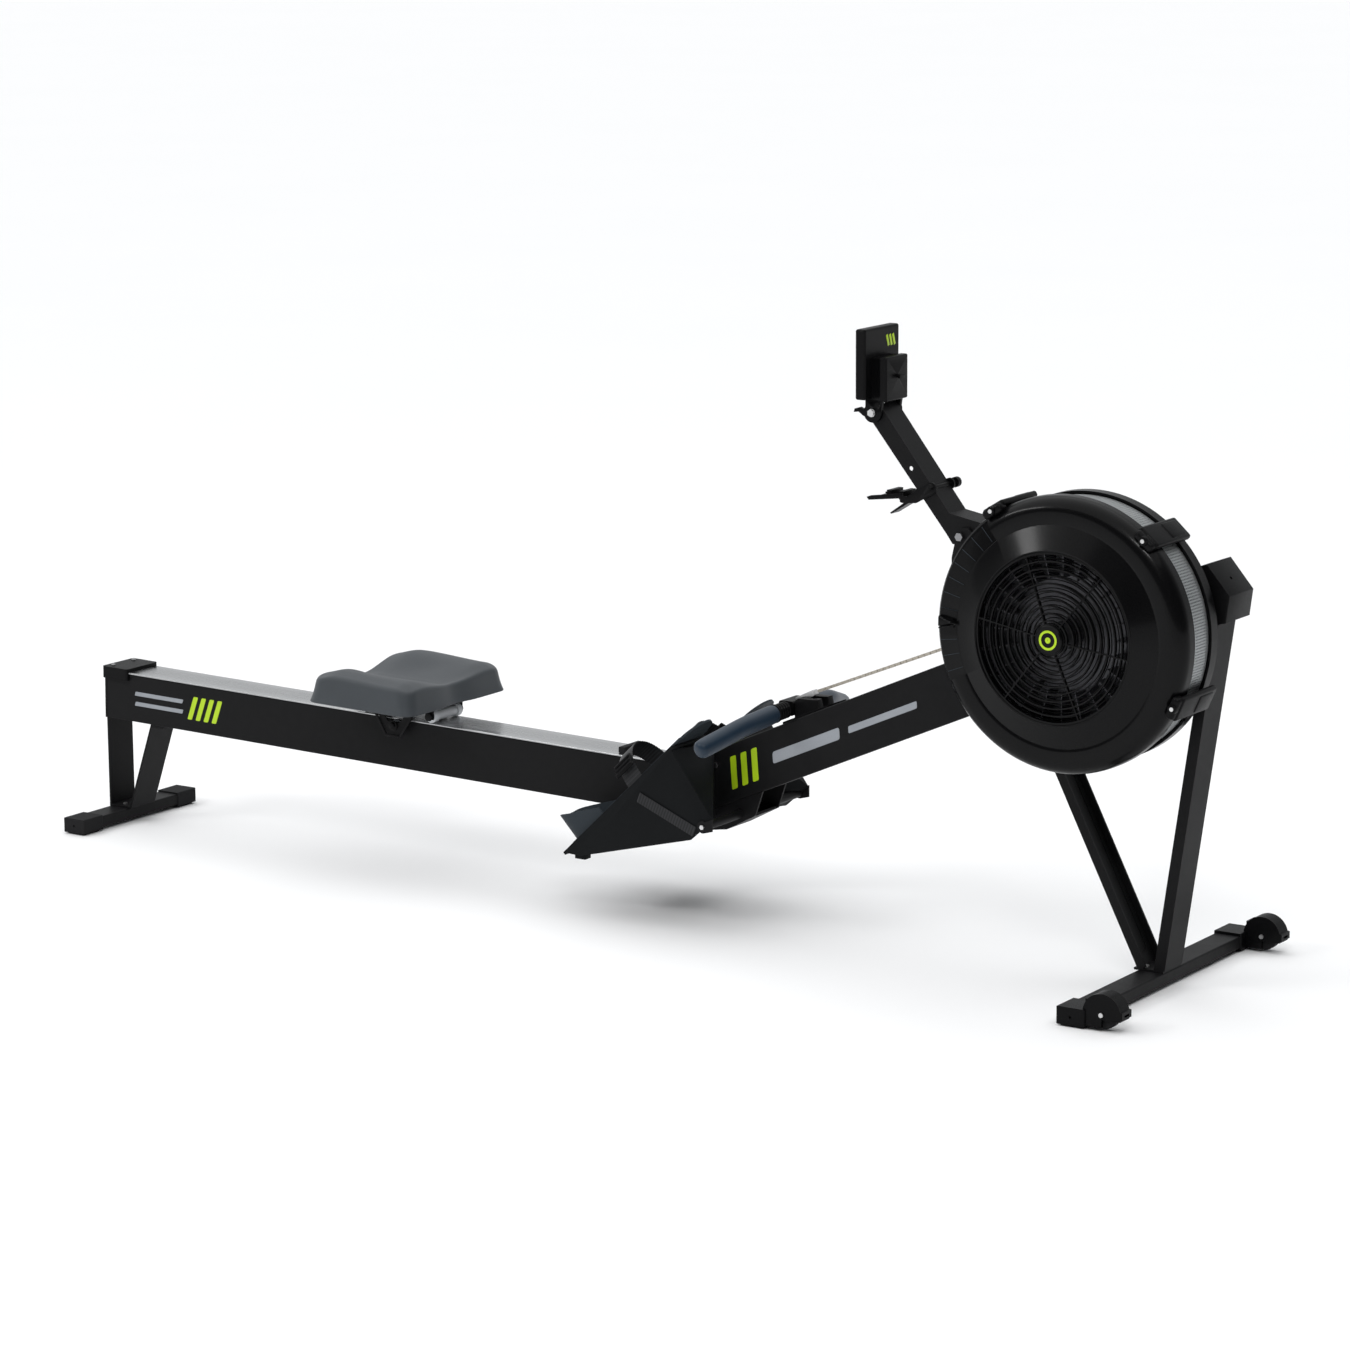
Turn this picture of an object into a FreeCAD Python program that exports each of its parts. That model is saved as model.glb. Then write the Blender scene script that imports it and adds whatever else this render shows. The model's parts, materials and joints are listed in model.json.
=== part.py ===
"""Air rowing machine: rail with rolling seat, sloping main beam, caged fan, handle and chain.

Frame: millimetres, +X from the rear foot to the fan, +Z up, the rower's right side at -Y.
The origin is on the floor, under the centre of the machine's bounding box.
"""
import FreeCAD
import Part
import math
import os

V = FreeCAD.Vector

# ---------------------------------------------------------------- driving dimensions
WALL = 3.0                    # wall of the rail and beam tubes
STRIP = 4.0                   # thickness of the bent leg strips

RAIL_REAR = V(-1207.0, 0.0, 304.6)     # track surface at the rear end of the rail
RAIL_SLOPE = -1.3                      # degrees, falling towards the fan
RAIL_LENGTH = 1307.0
RAIL_HALF = 38.0                       # half width of the rail box
RAIL_DEPTH = 97.0                      # track surface to underside
TRACK_HALF = 41.5                      # half width of the steel track, which overhangs the box
TRACK_THICK = 3.0

BEAM_REAR = V(100.0, 0.0, 207.4)       # centre of the beam's rear face
BEAM_SLOPE = 23.7                      # degrees, rising towards the fan
BEAM_HALF_HEIGHT = 49.5
BEAM_HALF = 40.0
BEAM_SLOT = (812.0, 982.0)             # opening in the top wall for the chain, along the beam

LEG_HALF = 32.0                        # half width of the front leg strip
REAR_LEG_HALF = 35.0
FOOT_TOP = 28.6                        # top of the foot bars
FOOT_BOTTOM = 6.6
FOOT_HALF = 24.5                       # half width of a foot bar along X
FRONT_FOOT_X = 1078.6
FRONT_FOOT_HALF = 311.5
REAR_FOOT_X = -1192.0
REAR_FOOT_HALF = 168.0
CASTER_AXLE = V(1134.3, 0.0, 28.5)
CASTER_R = 25.5
CASTER_Y = 292.0
SCREW_R = 4.0                          # screws and pins that wheels and rollers turn on
SMALL_PIN_R = 3.0

FAN_AXIS = V(980.0, 0.0, 617.0)        # the fan's axle, along Y
COVER_R = 232.0
BAND_R = 222.0
FAR_COVER_R = 228.0
GRILLE_R = 144.0
CONE_R = 187.0
HUB_CAP_R = 25.0
AXLE_R = 8.0
BORE_GAP = 0.05                        # between a pin or axle and the bore that turns on it
BLADE_COUNT = 24
RING_COUNT = 10                        # rings of the grille
SPOKE_COUNT = 6
SPROCKET_R = 20.0
SPROCKET_TEETH = 14
CHAIN_HALF = 3.0                       # half height of the chain's plates
CHAIN_HALF_WIDTH = 2.7
CHAIN_PITCH_R = SPROCKET_R + 0.4 + CHAIN_HALF
RIM_R = 26.0                           # the rounding of the near cover's rim, centred on y = RIM_Y
RIM_Y = -166.0
CLIP_ANGLES = (122.0, 48.0, -24.0)     # degrees, the clips that hold the covers together
CLIP_SWEEP = 13.0
DAMPER_FROM = 127.0                    # degrees, the recessed damper window on the near cover
DAMPER_TO = 205.0
DAMPER_REST = 179.0

GUIDE = V(735.0, 0.0, 565.0)           # the chain's centre line where it passes over the guide roller
GUIDE_R = 9.0
GUIDE_GAP = 1.2                        # between the chain's plates and the guide roller
CHAIN_START = V(398.0, 0.0, 428.6)     # where the chain leaves the handle's connector
CHAIN_TAIL = 340.0                     # the chain's inner end, along the beam
CORD_R = 3.5
TAIL_PULLEY_U = 130.0                  # the recoil cord's pulley, along the beam
TAIL_GROOVE_R = 14.0
CORD_ANCHOR_U = 760.0                  # where the recoil cord is tied, along the beam

HANDLE = V(353.0, 0.0, 397.0)          # centre of the handle's core
CORE_R = 13.5
GRIP_R = 17.0
GRIP_ROOT = V(349.0, 62.0, 394.5)
GRIP_BEND = V(338.0, 140.0, 385.0)
GRIP_END = V(311.0, 225.0, 360.0)

BOARD_TIP = V(-37.0, 0.0, 115.0)       # lowest edge of the sloping footboards
BOARD_SLOPE = 43.5
BOARD_INNER = 44.5
BOARD_OUTER = 158.0
BOARD_LENGTH = 322.0
PLATE_LENGTH = 378.0
FOOT_TUBE = V(264.0, 0.0, 200.0)       # cross tube that both footrests are bolted to
FOOT_TUBE_R = 8.0
LUG_THICK = 3.0                        # steel lug between each footrest's cheek and its bolt
LUG_R = 11.0

SEAT_U = 711.0                         # centre of the seat carriage, along the rail
ROLLER_SPAN = 79.0                     # top rollers ahead of and behind the carriage centre
ROLLER_R = 13.0
LOWER_ROLLER_R = 9.0
LOWER_ROLLER_W = -TRACK_THICK - 0.5 - LOWER_ROLLER_R    # its axle, below the track's edge
PAD_HALF_LENGTH = 118.0
PAD_HALF_WIDTH = 156.0
PAD_SHIFT = -6.0                       # the pad sits slightly behind the middle of its carriage
PAD_BOTTOM = 34.0
PAD_CORNER_R = 38.0
SEAT_TRAVEL_FRONT = 400.0

ARM_PIVOT = V(707.4, 0.0, 737.3)       # folding pivot of the monitor arm
ARM_HALF = 28.0
ARM_PIN_R = 5.0
TILT_PIVOT = V(533.0, 0.0, 936.0)      # tilt pivot of the monitor
HOLDER_PIVOT = V(648.0, 0.0, 814.6)    # pivot of the device holder
PIVOT_PIN_R = 4.0                      # pins of the monitor's tilt and of the device holder
MONITOR_FACE_X = 511.0
MONITOR_HALF = 57.0
MONITOR_BOTTOM = 959.0
MONITOR_TOP = 1080.0
KEY_HEIGHTS = (1055.0, 1027.0, 999.0)  # centres of the keys beside the screen

os.makedirs("parts", exist_ok=True)


# ---------------------------------------------------------------- helpers
def box(x0, x1, y0, y1, z0, z1):
    return Part.makeBox(x1 - x0, y1 - y0, z1 - z0, V(x0, y0, z0))


def cyl_y(x, z, r, y0, y1):
    return Part.makeCylinder(r, y1 - y0, V(x, y0, z), V(0, 1, 0))


def cyl(base, axis, r, length):
    return Part.makeCylinder(r, length, base, axis)


def ring_y(x, z, outer, inner, y0, y1):
    return cyl_y(x, z, outer, y0, y1).cut(cyl_y(x, z, inner, y0 - 1, y1 + 1))


def prism_y(points, y0, y1):
    """Extrude an outline given as (x, z) pairs from y0 to y1."""
    corners = [V(x, y0, z) for x, z in points]
    return Part.Face(Part.makePolygon(corners + corners[:1])).extrude(V(0, y1 - y0, 0))


def prism_x(points, x0, x1):
    """Extrude an outline given as (y, z) pairs from x0 to x1."""
    corners = [V(x0, y, z) for y, z in points]
    return Part.Face(Part.makePolygon(corners + corners[:1])).extrude(V(x1 - x0, 0, 0))


def slab(corners, push):
    """A thin closed slab: a flat polygon pushed along a vector."""
    return Part.Face(Part.makePolygon(corners + corners[:1])).extrude(push)


def fuse(first, *others):
    shape = first
    for other in others:
        shape = shape.fuse(other)
    return shape.removeSplitter()


def cut(shape, *tools):
    for tool in tools:
        shape = shape.cut(tool)
    return shape


def mirror(shape):
    return shape.mirror(V(0, 0, 0), V(0, 1, 0))


def rotated(shape, centre, axis, angle):
    copy = shape.copy()
    copy.rotate(centre, axis, angle)
    return copy


def along(shape, origin, slope):
    """Put a shape drawn with +X along a member and +Z normal to it onto that member."""
    copy = shape.copy()
    copy.rotate(V(0, 0, 0), V(0, 1, 0), -slope)
    copy.translate(origin)
    return copy


def point_along(origin, slope, u, w, y=0.0):
    angle = math.radians(slope)
    return V(
        origin.x + u * math.cos(angle) - w * math.sin(angle),
        y,
        origin.z + u * math.sin(angle) + w * math.cos(angle),
    )


def soften(shape, radius, keep):
    """Fillet the edges that keep(edge) picks."""
    edges = [edge for edge in shape.Edges if keep(edge)]
    return shape.makeFillet(radius, edges) if edges else shape


def direction(edge):
    start = edge.valueAt(edge.FirstParameter)
    end = edge.valueAt(edge.LastParameter)
    span = end - start
    return span.normalize() if span.Length > 1e-6 else V(0, 0, 0)


def runs(edge, axis):
    return abs(direction(edge).dot(axis)) > 0.999


def save(node, *shapes):
    solids = [solid for shape in shapes for solid in shape.Solids]
    assert solids, node
    shape = solids[0] if len(solids) == 1 else Part.makeCompound(solids)
    assert shape.isValid(), node
    shape.exportStep("parts/%s.step" % node)


def bolt(x, z, y, side, head_r=5.0, head=3.2):
    """A hexagon bolt head standing out of a side face at y, towards side (+1 or -1)."""
    angles = [math.radians(60 * k) for k in range(6)]
    outline = [(x + head_r * math.cos(a), z + head_r * math.sin(a)) for a in angles]
    return prism_y(outline, min(y, y + side * head), max(y, y + side * head))


def beam(shape):
    return along(shape, BEAM_REAR, BEAM_SLOPE)


def rail(shape):
    return along(shape, RAIL_REAR, RAIL_SLOPE)


def beam_line(x, w):
    """Height of the line at normal offset w from the beam's centre line, above x."""
    angle = math.radians(BEAM_SLOPE)
    return BEAM_REAR.z + (x - BEAM_REAR.x) * math.tan(angle) + w / math.cos(angle)


# ---------------------------------------------------------------- rail
def make_rail():
    outer = box(0, RAIL_LENGTH + 10, -RAIL_HALF, RAIL_HALF, -RAIL_DEPTH, -TRACK_THICK)
    inner = box(-5, RAIL_LENGTH + 20, -RAIL_HALF + WALL, RAIL_HALF - WALL,
                -RAIL_DEPTH + WALL, -TRACK_THICK - WALL)
    tube = rail(soften(outer, 2.0, lambda e: runs(e, V(1, 0, 0))).cut(inner))
    save("rail_beam", tube.cut(box(BEAM_REAR.x - 0.2, 400, -90, 90, 0, 500)))

    track = box(50, RAIL_LENGTH - 20, -TRACK_HALF, TRACK_HALF, -TRACK_THICK, 0)
    save("rail_track", rail(soften(track, 1.0, lambda e: runs(e, V(1, 0, 0)))))

    cap_outer = box(-7, 56, -46, 46, -16, 7)
    cap_outer = soften(cap_outer, 5.0, lambda e: runs(e, V(0, 0, 1)))
    lip = box(-7, 0, -RAIL_HALF, RAIL_HALF, -RAIL_DEPTH, -10)
    cap = fuse(cap_outer, lip)
    cap = cut(cap, box(0, 60, -RAIL_HALF, RAIL_HALF, -RAIL_DEPTH - 5, -TRACK_THICK),
              box(50, 60, -TRACK_HALF, TRACK_HALF, -TRACK_THICK, 0))
    save("rail_end_cap", rail(cap))

    front_u = SEAT_U + ROLLER_SPAN + SEAT_TRAVEL_FRONT + ROLLER_R + 1.5
    stop = soften(box(front_u, front_u + 13, -30, 30, 0, 12), 2.5, lambda e: runs(e, V(0, 1, 0)))
    save("seat_stop", rail(stop))


def make_rear_leg():
    half = REAR_LEG_HALF
    post = box(-1215, -1215 + STRIP, -half, half, FOOT_TOP, 207)
    plate = box(-1215, -1160, -half, half, FOOT_TOP, FOOT_TOP + STRIP)
    brace = prism_y([(-1165, FOOT_TOP), (-1160.5, FOOT_TOP), (-1099, 205), (-1103.5, 205)], -half, half)
    flange = prism_y([(-1103.5, 205), (-1101, 199), (-1072, 198.4), (-1070, 205)], -half, half)
    rail_region = rail(box(-30, RAIL_LENGTH, -60, 60, -RAIL_DEPTH, 40))
    save("rear_leg", fuse(post, plate, brace, flange).cut(rail_region))

    save("rear_foot_bar", soften(
        box(REAR_FOOT_X - FOOT_HALF, REAR_FOOT_X + FOOT_HALF, -REAR_FOOT_HALF + 4, REAR_FOOT_HALF - 4,
            FOOT_BOTTOM, FOOT_TOP), 3.0, lambda e: runs(e, V(0, 1, 0))))
    cap = foot_cap(REAR_FOOT_X, REAR_FOOT_HALF, 31.5)
    save("rear_foot_caps", cap, mirror(cap))


def foot_cap(x, half, top):
    """A rubber cap over one end of a foot bar, on a stepped pad."""
    block = box(x - 26.5, x + 26.5, half - 56, half, 3, top)
    block = soften(block, 3.0, lambda e: runs(e, V(0, 1, 0)) or runs(e, V(0, 0, 1)))
    pad = box(x - 21, x + 21, half - 48, half - 8, 0, 8)
    cap = fuse(block, pad)
    bar = box(x - FOOT_HALF, x + FOOT_HALF, 0, half - 4, FOOT_BOTTOM, FOOT_TOP)
    return cut(cap, bar, cyl(V(x, half - 2.5, 17), V(0, 1, 0), 2.5, 5))


# ---------------------------------------------------------------- main beam and front leg
CAP_REAR_X = 1140.0
CAP_WALL = 3.0
CAP_CORNER_Z = 660.0          # the corners above this height also move down inside the cap's wall
CAP_PROFILE = [(CAP_REAR_X, "top"), (1176.0, 734.5), (1218.5, 685.0), (1212.5, 640.0), (1204.0, "bottom"),
               (CAP_REAR_X, "bottom")]


def cap_profile(grow):
    """The beam's front end as an outline, grown outwards by the cap's wall."""
    shift = CAP_WALL - grow
    points = []
    for x, z in CAP_PROFILE:
        if z == "top":
            points.append((x, beam_line(x, BEAM_HALF_HEIGHT + grow)))
        elif z == "bottom":
            edge = x - shift if x > CAP_REAR_X else x
            points.append((edge, beam_line(edge, -BEAM_HALF_HEIGHT)))
        elif z > CAP_CORNER_Z:
            points.append((x - shift, z - 1.2 * shift))
        else:
            points.append((x - shift, z))
    return points


def make_beam():
    outer = beam(soften(box(-40, 1260, -BEAM_HALF, BEAM_HALF, -BEAM_HALF_HEIGHT, BEAM_HALF_HEIGHT),
                        3.0, lambda e: runs(e, V(1, 0, 0))))
    inner = beam(box(-60, 1300, -BEAM_HALF + WALL, BEAM_HALF - WALL,
                     -BEAM_HALF_HEIGHT + WALL, BEAM_HALF_HEIGHT - WALL))
    around = [(BEAM_REAR.x, 0), (BEAM_REAR.x, 600), (CAP_REAR_X, 900)]
    keep = prism_y(around + cap_profile(0.0)[:-1] + [(CAP_REAR_X, 0)], -60, 60)
    tube = outer.cut(inner).common(keep)
    slot = beam(box(BEAM_SLOT[0], BEAM_SLOT[1], -12, 12, 30, 60))
    holes = cyl_y(FAN_AXIS.x, FAN_AXIS.z, 16.0, -60, 60)
    save("main_beam", cut(tube, slot, holes))

    shell = prism_y(cap_profile(CAP_WALL), -43.5, 43.5).cut(prism_y(cap_profile(0.0), -40.05, 40.05))
    save("beam_front_cap", shell.cut(cyl(V(1190, 0, 700), V(0.76, 0, 0.65), 3.0, 60)))


def make_front_leg():
    half = LEG_HALF
    rear_x = 1056.0
    front_x = 1101.0
    plate = box(rear_x - 8, front_x + 2, -half, half, FOOT_TOP, FOOT_TOP + STRIP)

    def strip(x0, z0, x1, z1, depth):
        """A strip with folded edges between two points, its flat face on the +X side of the line."""
        run = V(x1 - x0, 0, z1 - z0)
        length = run.Length
        slope = math.degrees(math.atan2(run.z, run.x))
        sheet = box(0, length, -half, half, -STRIP, 0)
        sides = [box(0, length, s * half - (STRIP if s > 0 else 0), s * half + (0 if s > 0 else STRIP),
                     min(0, depth), max(0, depth)) for s in (-1, 1)]
        groove = box(40, length - 60, -17, 17, -1.5, 1)
        ends = Part.makeCylinder(17, 2.5, V(40, 0, -1.5), V(0, 0, 1))
        sheet = sheet if depth < 0 else sheet.cut(groove.fuse(ends))
        under = [box(40, length - 60, -17, 17, -STRIP - 1, -STRIP + 1.5),
                 Part.makeCylinder(17, 2.5, V(40, 0, -STRIP - 1), V(0, 0, 1))]
        sheet = sheet if depth > 0 else sheet.cut(under[0].fuse(under[1]))
        return along(fuse(sheet, sides[0], sides[1]), V(x0, 0, z0), slope)

    rear = strip(rear_x, FOOT_TOP, 824.0, 485.0, -16.0)
    front = strip(front_x, FOOT_TOP, 1193.0, 660.0, 16.0)
    below = prism_y([(600, 0), (1300, 0), (1300, beam_line(1300, -BEAM_HALF_HEIGHT)),
                     (600, beam_line(600, -BEAM_HALF_HEIGHT))], -50, 50)
    above_plate = box(600, 1300, -60, 60, FOOT_TOP + STRIP, 900)
    save("front_leg", plate, *[leg.common(below).common(above_plate) for leg in (rear, front)])

    save("front_foot_bar", soften(
        box(FRONT_FOOT_X - FOOT_HALF, FRONT_FOOT_X + FOOT_HALF, -FRONT_FOOT_HALF + 4, FRONT_FOOT_HALF - 4,
            FOOT_BOTTOM, FOOT_TOP), 3.0, lambda e: runs(e, V(0, 1, 0))))

    cap = foot_cap(FRONT_FOOT_X, FRONT_FOOT_HALF, 33.4)
    fender = make_fender()
    save("front_foot_caps", fuse(cap, fender), mirror(fuse(cap, fender)))

    wheel = ring_y(CASTER_AXLE.x, CASTER_AXLE.z, CASTER_R, SCREW_R + BORE_GAP, CASTER_Y - 9, CASTER_Y + 9)
    wheel = soften(wheel, 2.0, lambda e: abs(getattr(e.Curve, "Radius", 0) - CASTER_R) < 0.1)
    save("caster_wheel_left", wheel)
    save("caster_wheel_right", mirror(wheel))


def make_fender():
    """The half-round housing over a transport wheel, on the front of a foot cap."""
    x, z = CASTER_AXLE.x, CASTER_AXLE.z
    y0, y1 = CASTER_Y - 16, CASTER_Y + 16
    dome = cyl_y(x, z, 35.0, y0, y1).common(box(x - 40, x + 40, y0, y1, z - 8, z + 40))
    root = box(FRONT_FOOT_X + 26, x, y0, y1, 6, z + 24)
    nose = prism_y([(x + 20, z - 8), (x + 38, z - 4), (x + 38, z + 8), (x + 20, z + 12)], y0, y1)
    solid = fuse(dome, root, nose)
    room = cyl_y(x, z, CASTER_R + 3.0, CASTER_Y - 11.5, CASTER_Y + 11.5)
    opening = box(x - CASTER_R - 3, x + CASTER_R + 3, CASTER_Y - 11.5, CASTER_Y + 11.5, -5, z)
    groove = box(x + 30, x + 45, y0 + 8, y1 - 8, z - 1, z + 3)
    bar = box(FRONT_FOOT_X, FRONT_FOOT_X + FOOT_HALF, 0, FRONT_FOOT_HALF, FOOT_BOTTOM, FOOT_TOP)
    return cut(solid, room, opening, groove, bar, cyl_y(x, z, SCREW_R, y0 - 1, y1 + 1))


# ---------------------------------------------------------------- fan cage
def turned_y(profile, start=0.0, sweep=360.0):
    """Turn an outline of (radius, y) pairs about the fan's axle."""
    corners = [V(FAN_AXIS.x + r, y, FAN_AXIS.z) for r, y in profile]
    face = Part.Face(Part.makePolygon(corners + corners[:1]))
    centre = V(FAN_AXIS.x, 0, FAN_AXIS.z)
    shape = face.revolve(centre, V(0, 1, 0), -sweep)
    return rotated(shape, centre, V(0, 1, 0), -start)


def arc_points(cr, cy, radius, from_deg, to_deg, count):
    angles = [math.radians(from_deg + (to_deg - from_deg) * k / (count - 1)) for k in range(count)]
    return [(cr + radius * math.cos(a), cy + radius * math.sin(a)) for a in angles]


def polar(radius, angle, y):
    a = math.radians(angle)
    return V(FAN_AXIS.x + radius * math.cos(a), y, FAN_AXIS.z + radius * math.sin(a))


def cover_shell():
    outer = [(GRILLE_R, -207), (CONE_R, -190), (CONE_R + 3, -192)]
    outer += arc_points(COVER_R - RIM_R, RIM_Y, RIM_R, -90, 0, 7)
    outer += [(COVER_R, -150)]
    inner = [(COVER_R - 4, -150)]
    inner += arc_points(COVER_R - RIM_R, RIM_Y, RIM_R - 4, 0, -90, 7)
    inner += [(CONE_R + 4, -188), (CONE_R, -186), (GRILLE_R, -203)]
    return turned_y(outer + inner)


def make_near_cover():
    shell = cover_shell()
    window = turned_y([(CONE_R + 4, -200), (COVER_R + 8, -200), (COVER_R + 8, -179), (CONE_R + 4, -179)],
                      DAMPER_FROM, DAMPER_TO - DAMPER_FROM)
    floor = turned_y([(CONE_R - 2, -182), (COVER_R - 6, -182), (COVER_R - 2, -178), (COVER_R - 2, -174),
                      (CONE_R - 2, -178)], DAMPER_FROM - 1, DAMPER_TO - DAMPER_FROM + 2)
    save("near_cover", fuse(shell.cut(window), floor))


def grille_y(radius):
    """Front plane of the domed grille at a radius."""
    return -206.0 - 12.0 * (1.0 - radius / GRILLE_R)


def make_grille():
    rings = []
    for k in range(RING_COUNT):
        r = 31.0 + k * 12.2
        y = grille_y(r)
        rings.append(turned_y([(r - 1.1, y), (r + 1.1, y), (r + 1.1, y + 6), (r - 1.1, y + 6)]))
    rim = turned_y([(GRILLE_R - 3, -206), (GRILLE_R, -206), (GRILLE_R, -198), (GRILLE_R - 3, -198)])
    hub = turned_y([(0, -216), (27, -216), (27, -206), (0, -206)])
    spokes = []
    for k in range(SPOKE_COUNT):
        spokes.append(spoke_blade(51 + 360 * k / SPOKE_COUNT))
    save("grille", fuse(hub, rim, *rings, *spokes))
    cap = [(0, -221), (HUB_CAP_R - 2, -221), (HUB_CAP_R, -219), (HUB_CAP_R, -216), (0, -216)]
    save("hub_cap", turned_y(cap))


def spoke_blade(angle):
    """One thin radial spoke that follows the grille's dome."""
    profile = [(20, grille_y(20)), (GRILLE_R - 1, grille_y(GRILLE_R)), (GRILLE_R - 1, -201), (20, -209)]
    corners = [V(FAN_AXIS.x + r, y, FAN_AXIS.z - 1.0) for r, y in profile]
    blade = Part.Face(Part.makePolygon(corners + corners[:1])).extrude(V(0, 0, 2.0))
    return rotated(blade, V(FAN_AXIS.x, 0, FAN_AXIS.z), V(0, 1, 0), -angle)


def make_damper():
    """The damper's lever and the curved slide that carries it, in the window of the near cover."""
    inner_r = CONE_R + 5
    outer_r = COVER_R - 9
    slide = turned_y([(inner_r, -184.5), (outer_r, -184.5), (outer_r, -182.5), (inner_r, -182.5)],
                     DAMPER_REST - 6, 12)
    fin_profile = [(CONE_R + 5, -199), (COVER_R - 1, -189), (COVER_R - 1, -183), (CONE_R + 5, -183)]
    corners = [V(FAN_AXIS.x + r, y, FAN_AXIS.z - 2.0) for r, y in fin_profile]
    fin = Part.Face(Part.makePolygon(corners + corners[:1])).extrude(V(0, 0, 4.0))
    gusset = Part.makeCone(7, 3, 12, V(FAN_AXIS.x + CONE_R + 12, -183, FAN_AXIS.z), V(0, -1, 0))
    lever = rotated(fuse(fin, gusset), V(FAN_AXIS.x, 0, FAN_AXIS.z), V(0, 1, 0), -DAMPER_REST)
    save("damper_lever", fuse(slide, lever))


def make_cage_rest():
    band = turned_y([(BAND_R - 1.5, -150), (BAND_R, -150), (BAND_R, -84), (BAND_R - 1.5, -84)])
    save("vent_band", band)
    far = [(20, -46), (200, -46), (FAR_COVER_R - 4, -56), (FAR_COVER_R, -62), (FAR_COVER_R, -84),
           (FAR_COVER_R - 4, -84), (FAR_COVER_R - 4, -63), (198, -50), (20, -50)]
    save("far_cover", turned_y(far))
    outline = [(COVER_R - 2, -196), (COVER_R + 9, -190), (COVER_R + 9, -62), (FAR_COVER_R + 1, -56),
               (FAR_COVER_R + 1, -88), (BAND_R + 1, -88), (BAND_R + 1, -146), (COVER_R + 0.4, -149)]
    outline += arc_points(COVER_R - RIM_R, RIM_Y, RIM_R + 0.8, 0, -50, 5)
    clips = []
    screws = []
    for angle in CLIP_ANGLES:
        screw = cyl(polar(COVER_R + 2.5, angle, -194), V(0, -1, 0), 3.5, 3.0)
        clips.append(turned_y(outline, angle - CLIP_SWEEP / 2, CLIP_SWEEP).cut(screw))
        screws.append(screw)
    save("cage_clips", *clips)
    return screws


def make_flywheel():
    hub = turned_y([(AXLE_R, -178), (24, -178), (24, -92), (AXLE_R, -92)])
    disc = turned_y([(20, -138), (150, -138), (150, -133), (20, -133)])
    hoops = [turned_y([(178, y), (188, y), (188, y + 2.5), (178, y + 2.5)]) for y in (-172.0, -98.5)]
    blades = []
    for k in range(BLADE_COUNT):
        blade = box(FAN_AXIS.x + 96, FAN_AXIS.x + 192, -172, -96, FAN_AXIS.z - 0.8, FAN_AXIS.z + 0.8)
        blades.append(rotated(blade, V(FAN_AXIS.x, 0, FAN_AXIS.z), V(0, 1, 0), 360 * k / BLADE_COUNT))
    save("flywheel", fuse(hub, disc, *hoops, *blades))
    axle = cyl_y(FAN_AXIS.x, FAN_AXIS.z, AXLE_R, -196, 46)
    save("fan_axle", axle)
    bearing = [ring_y(FAN_AXIS.x, FAN_AXIS.z, 16.0, AXLE_R + BORE_GAP, y - 5, y + 5) for y in (-39.0, 39.0)]
    save("axle_bearings", *bearing)
    sprocket = cyl_y(FAN_AXIS.x, FAN_AXIS.z, SPROCKET_R, -2.4, 2.4)
    gaps = []
    for k in range(SPROCKET_TEETH):
        a = 2 * math.pi * (k + 0.5) / SPROCKET_TEETH
        gaps.append(cyl_y(FAN_AXIS.x + (SPROCKET_R + 0.6) * math.cos(a),
                          FAN_AXIS.z + (SPROCKET_R + 0.6) * math.sin(a), 2.4, -4, 4))
    clutch = cyl_y(FAN_AXIS.x, FAN_AXIS.z, 14.0, -14, 14)
    body = fuse(cut(sprocket, *gaps), clutch)
    save("chain_sprocket", body.cut(cyl_y(FAN_AXIS.x, FAN_AXIS.z, AXLE_R + BORE_GAP, -20, 20)))


# ---------------------------------------------------------------- chain, guide and recoil
def bar_between(a, b, half_height, half_width, extra=0.0):
    run = b - a
    slope = math.degrees(math.atan2(run.z, run.x))
    bar = box(-extra, run.Length + extra, -half_width, half_width, -half_height, half_height)
    return along(bar, a, slope)


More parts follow.
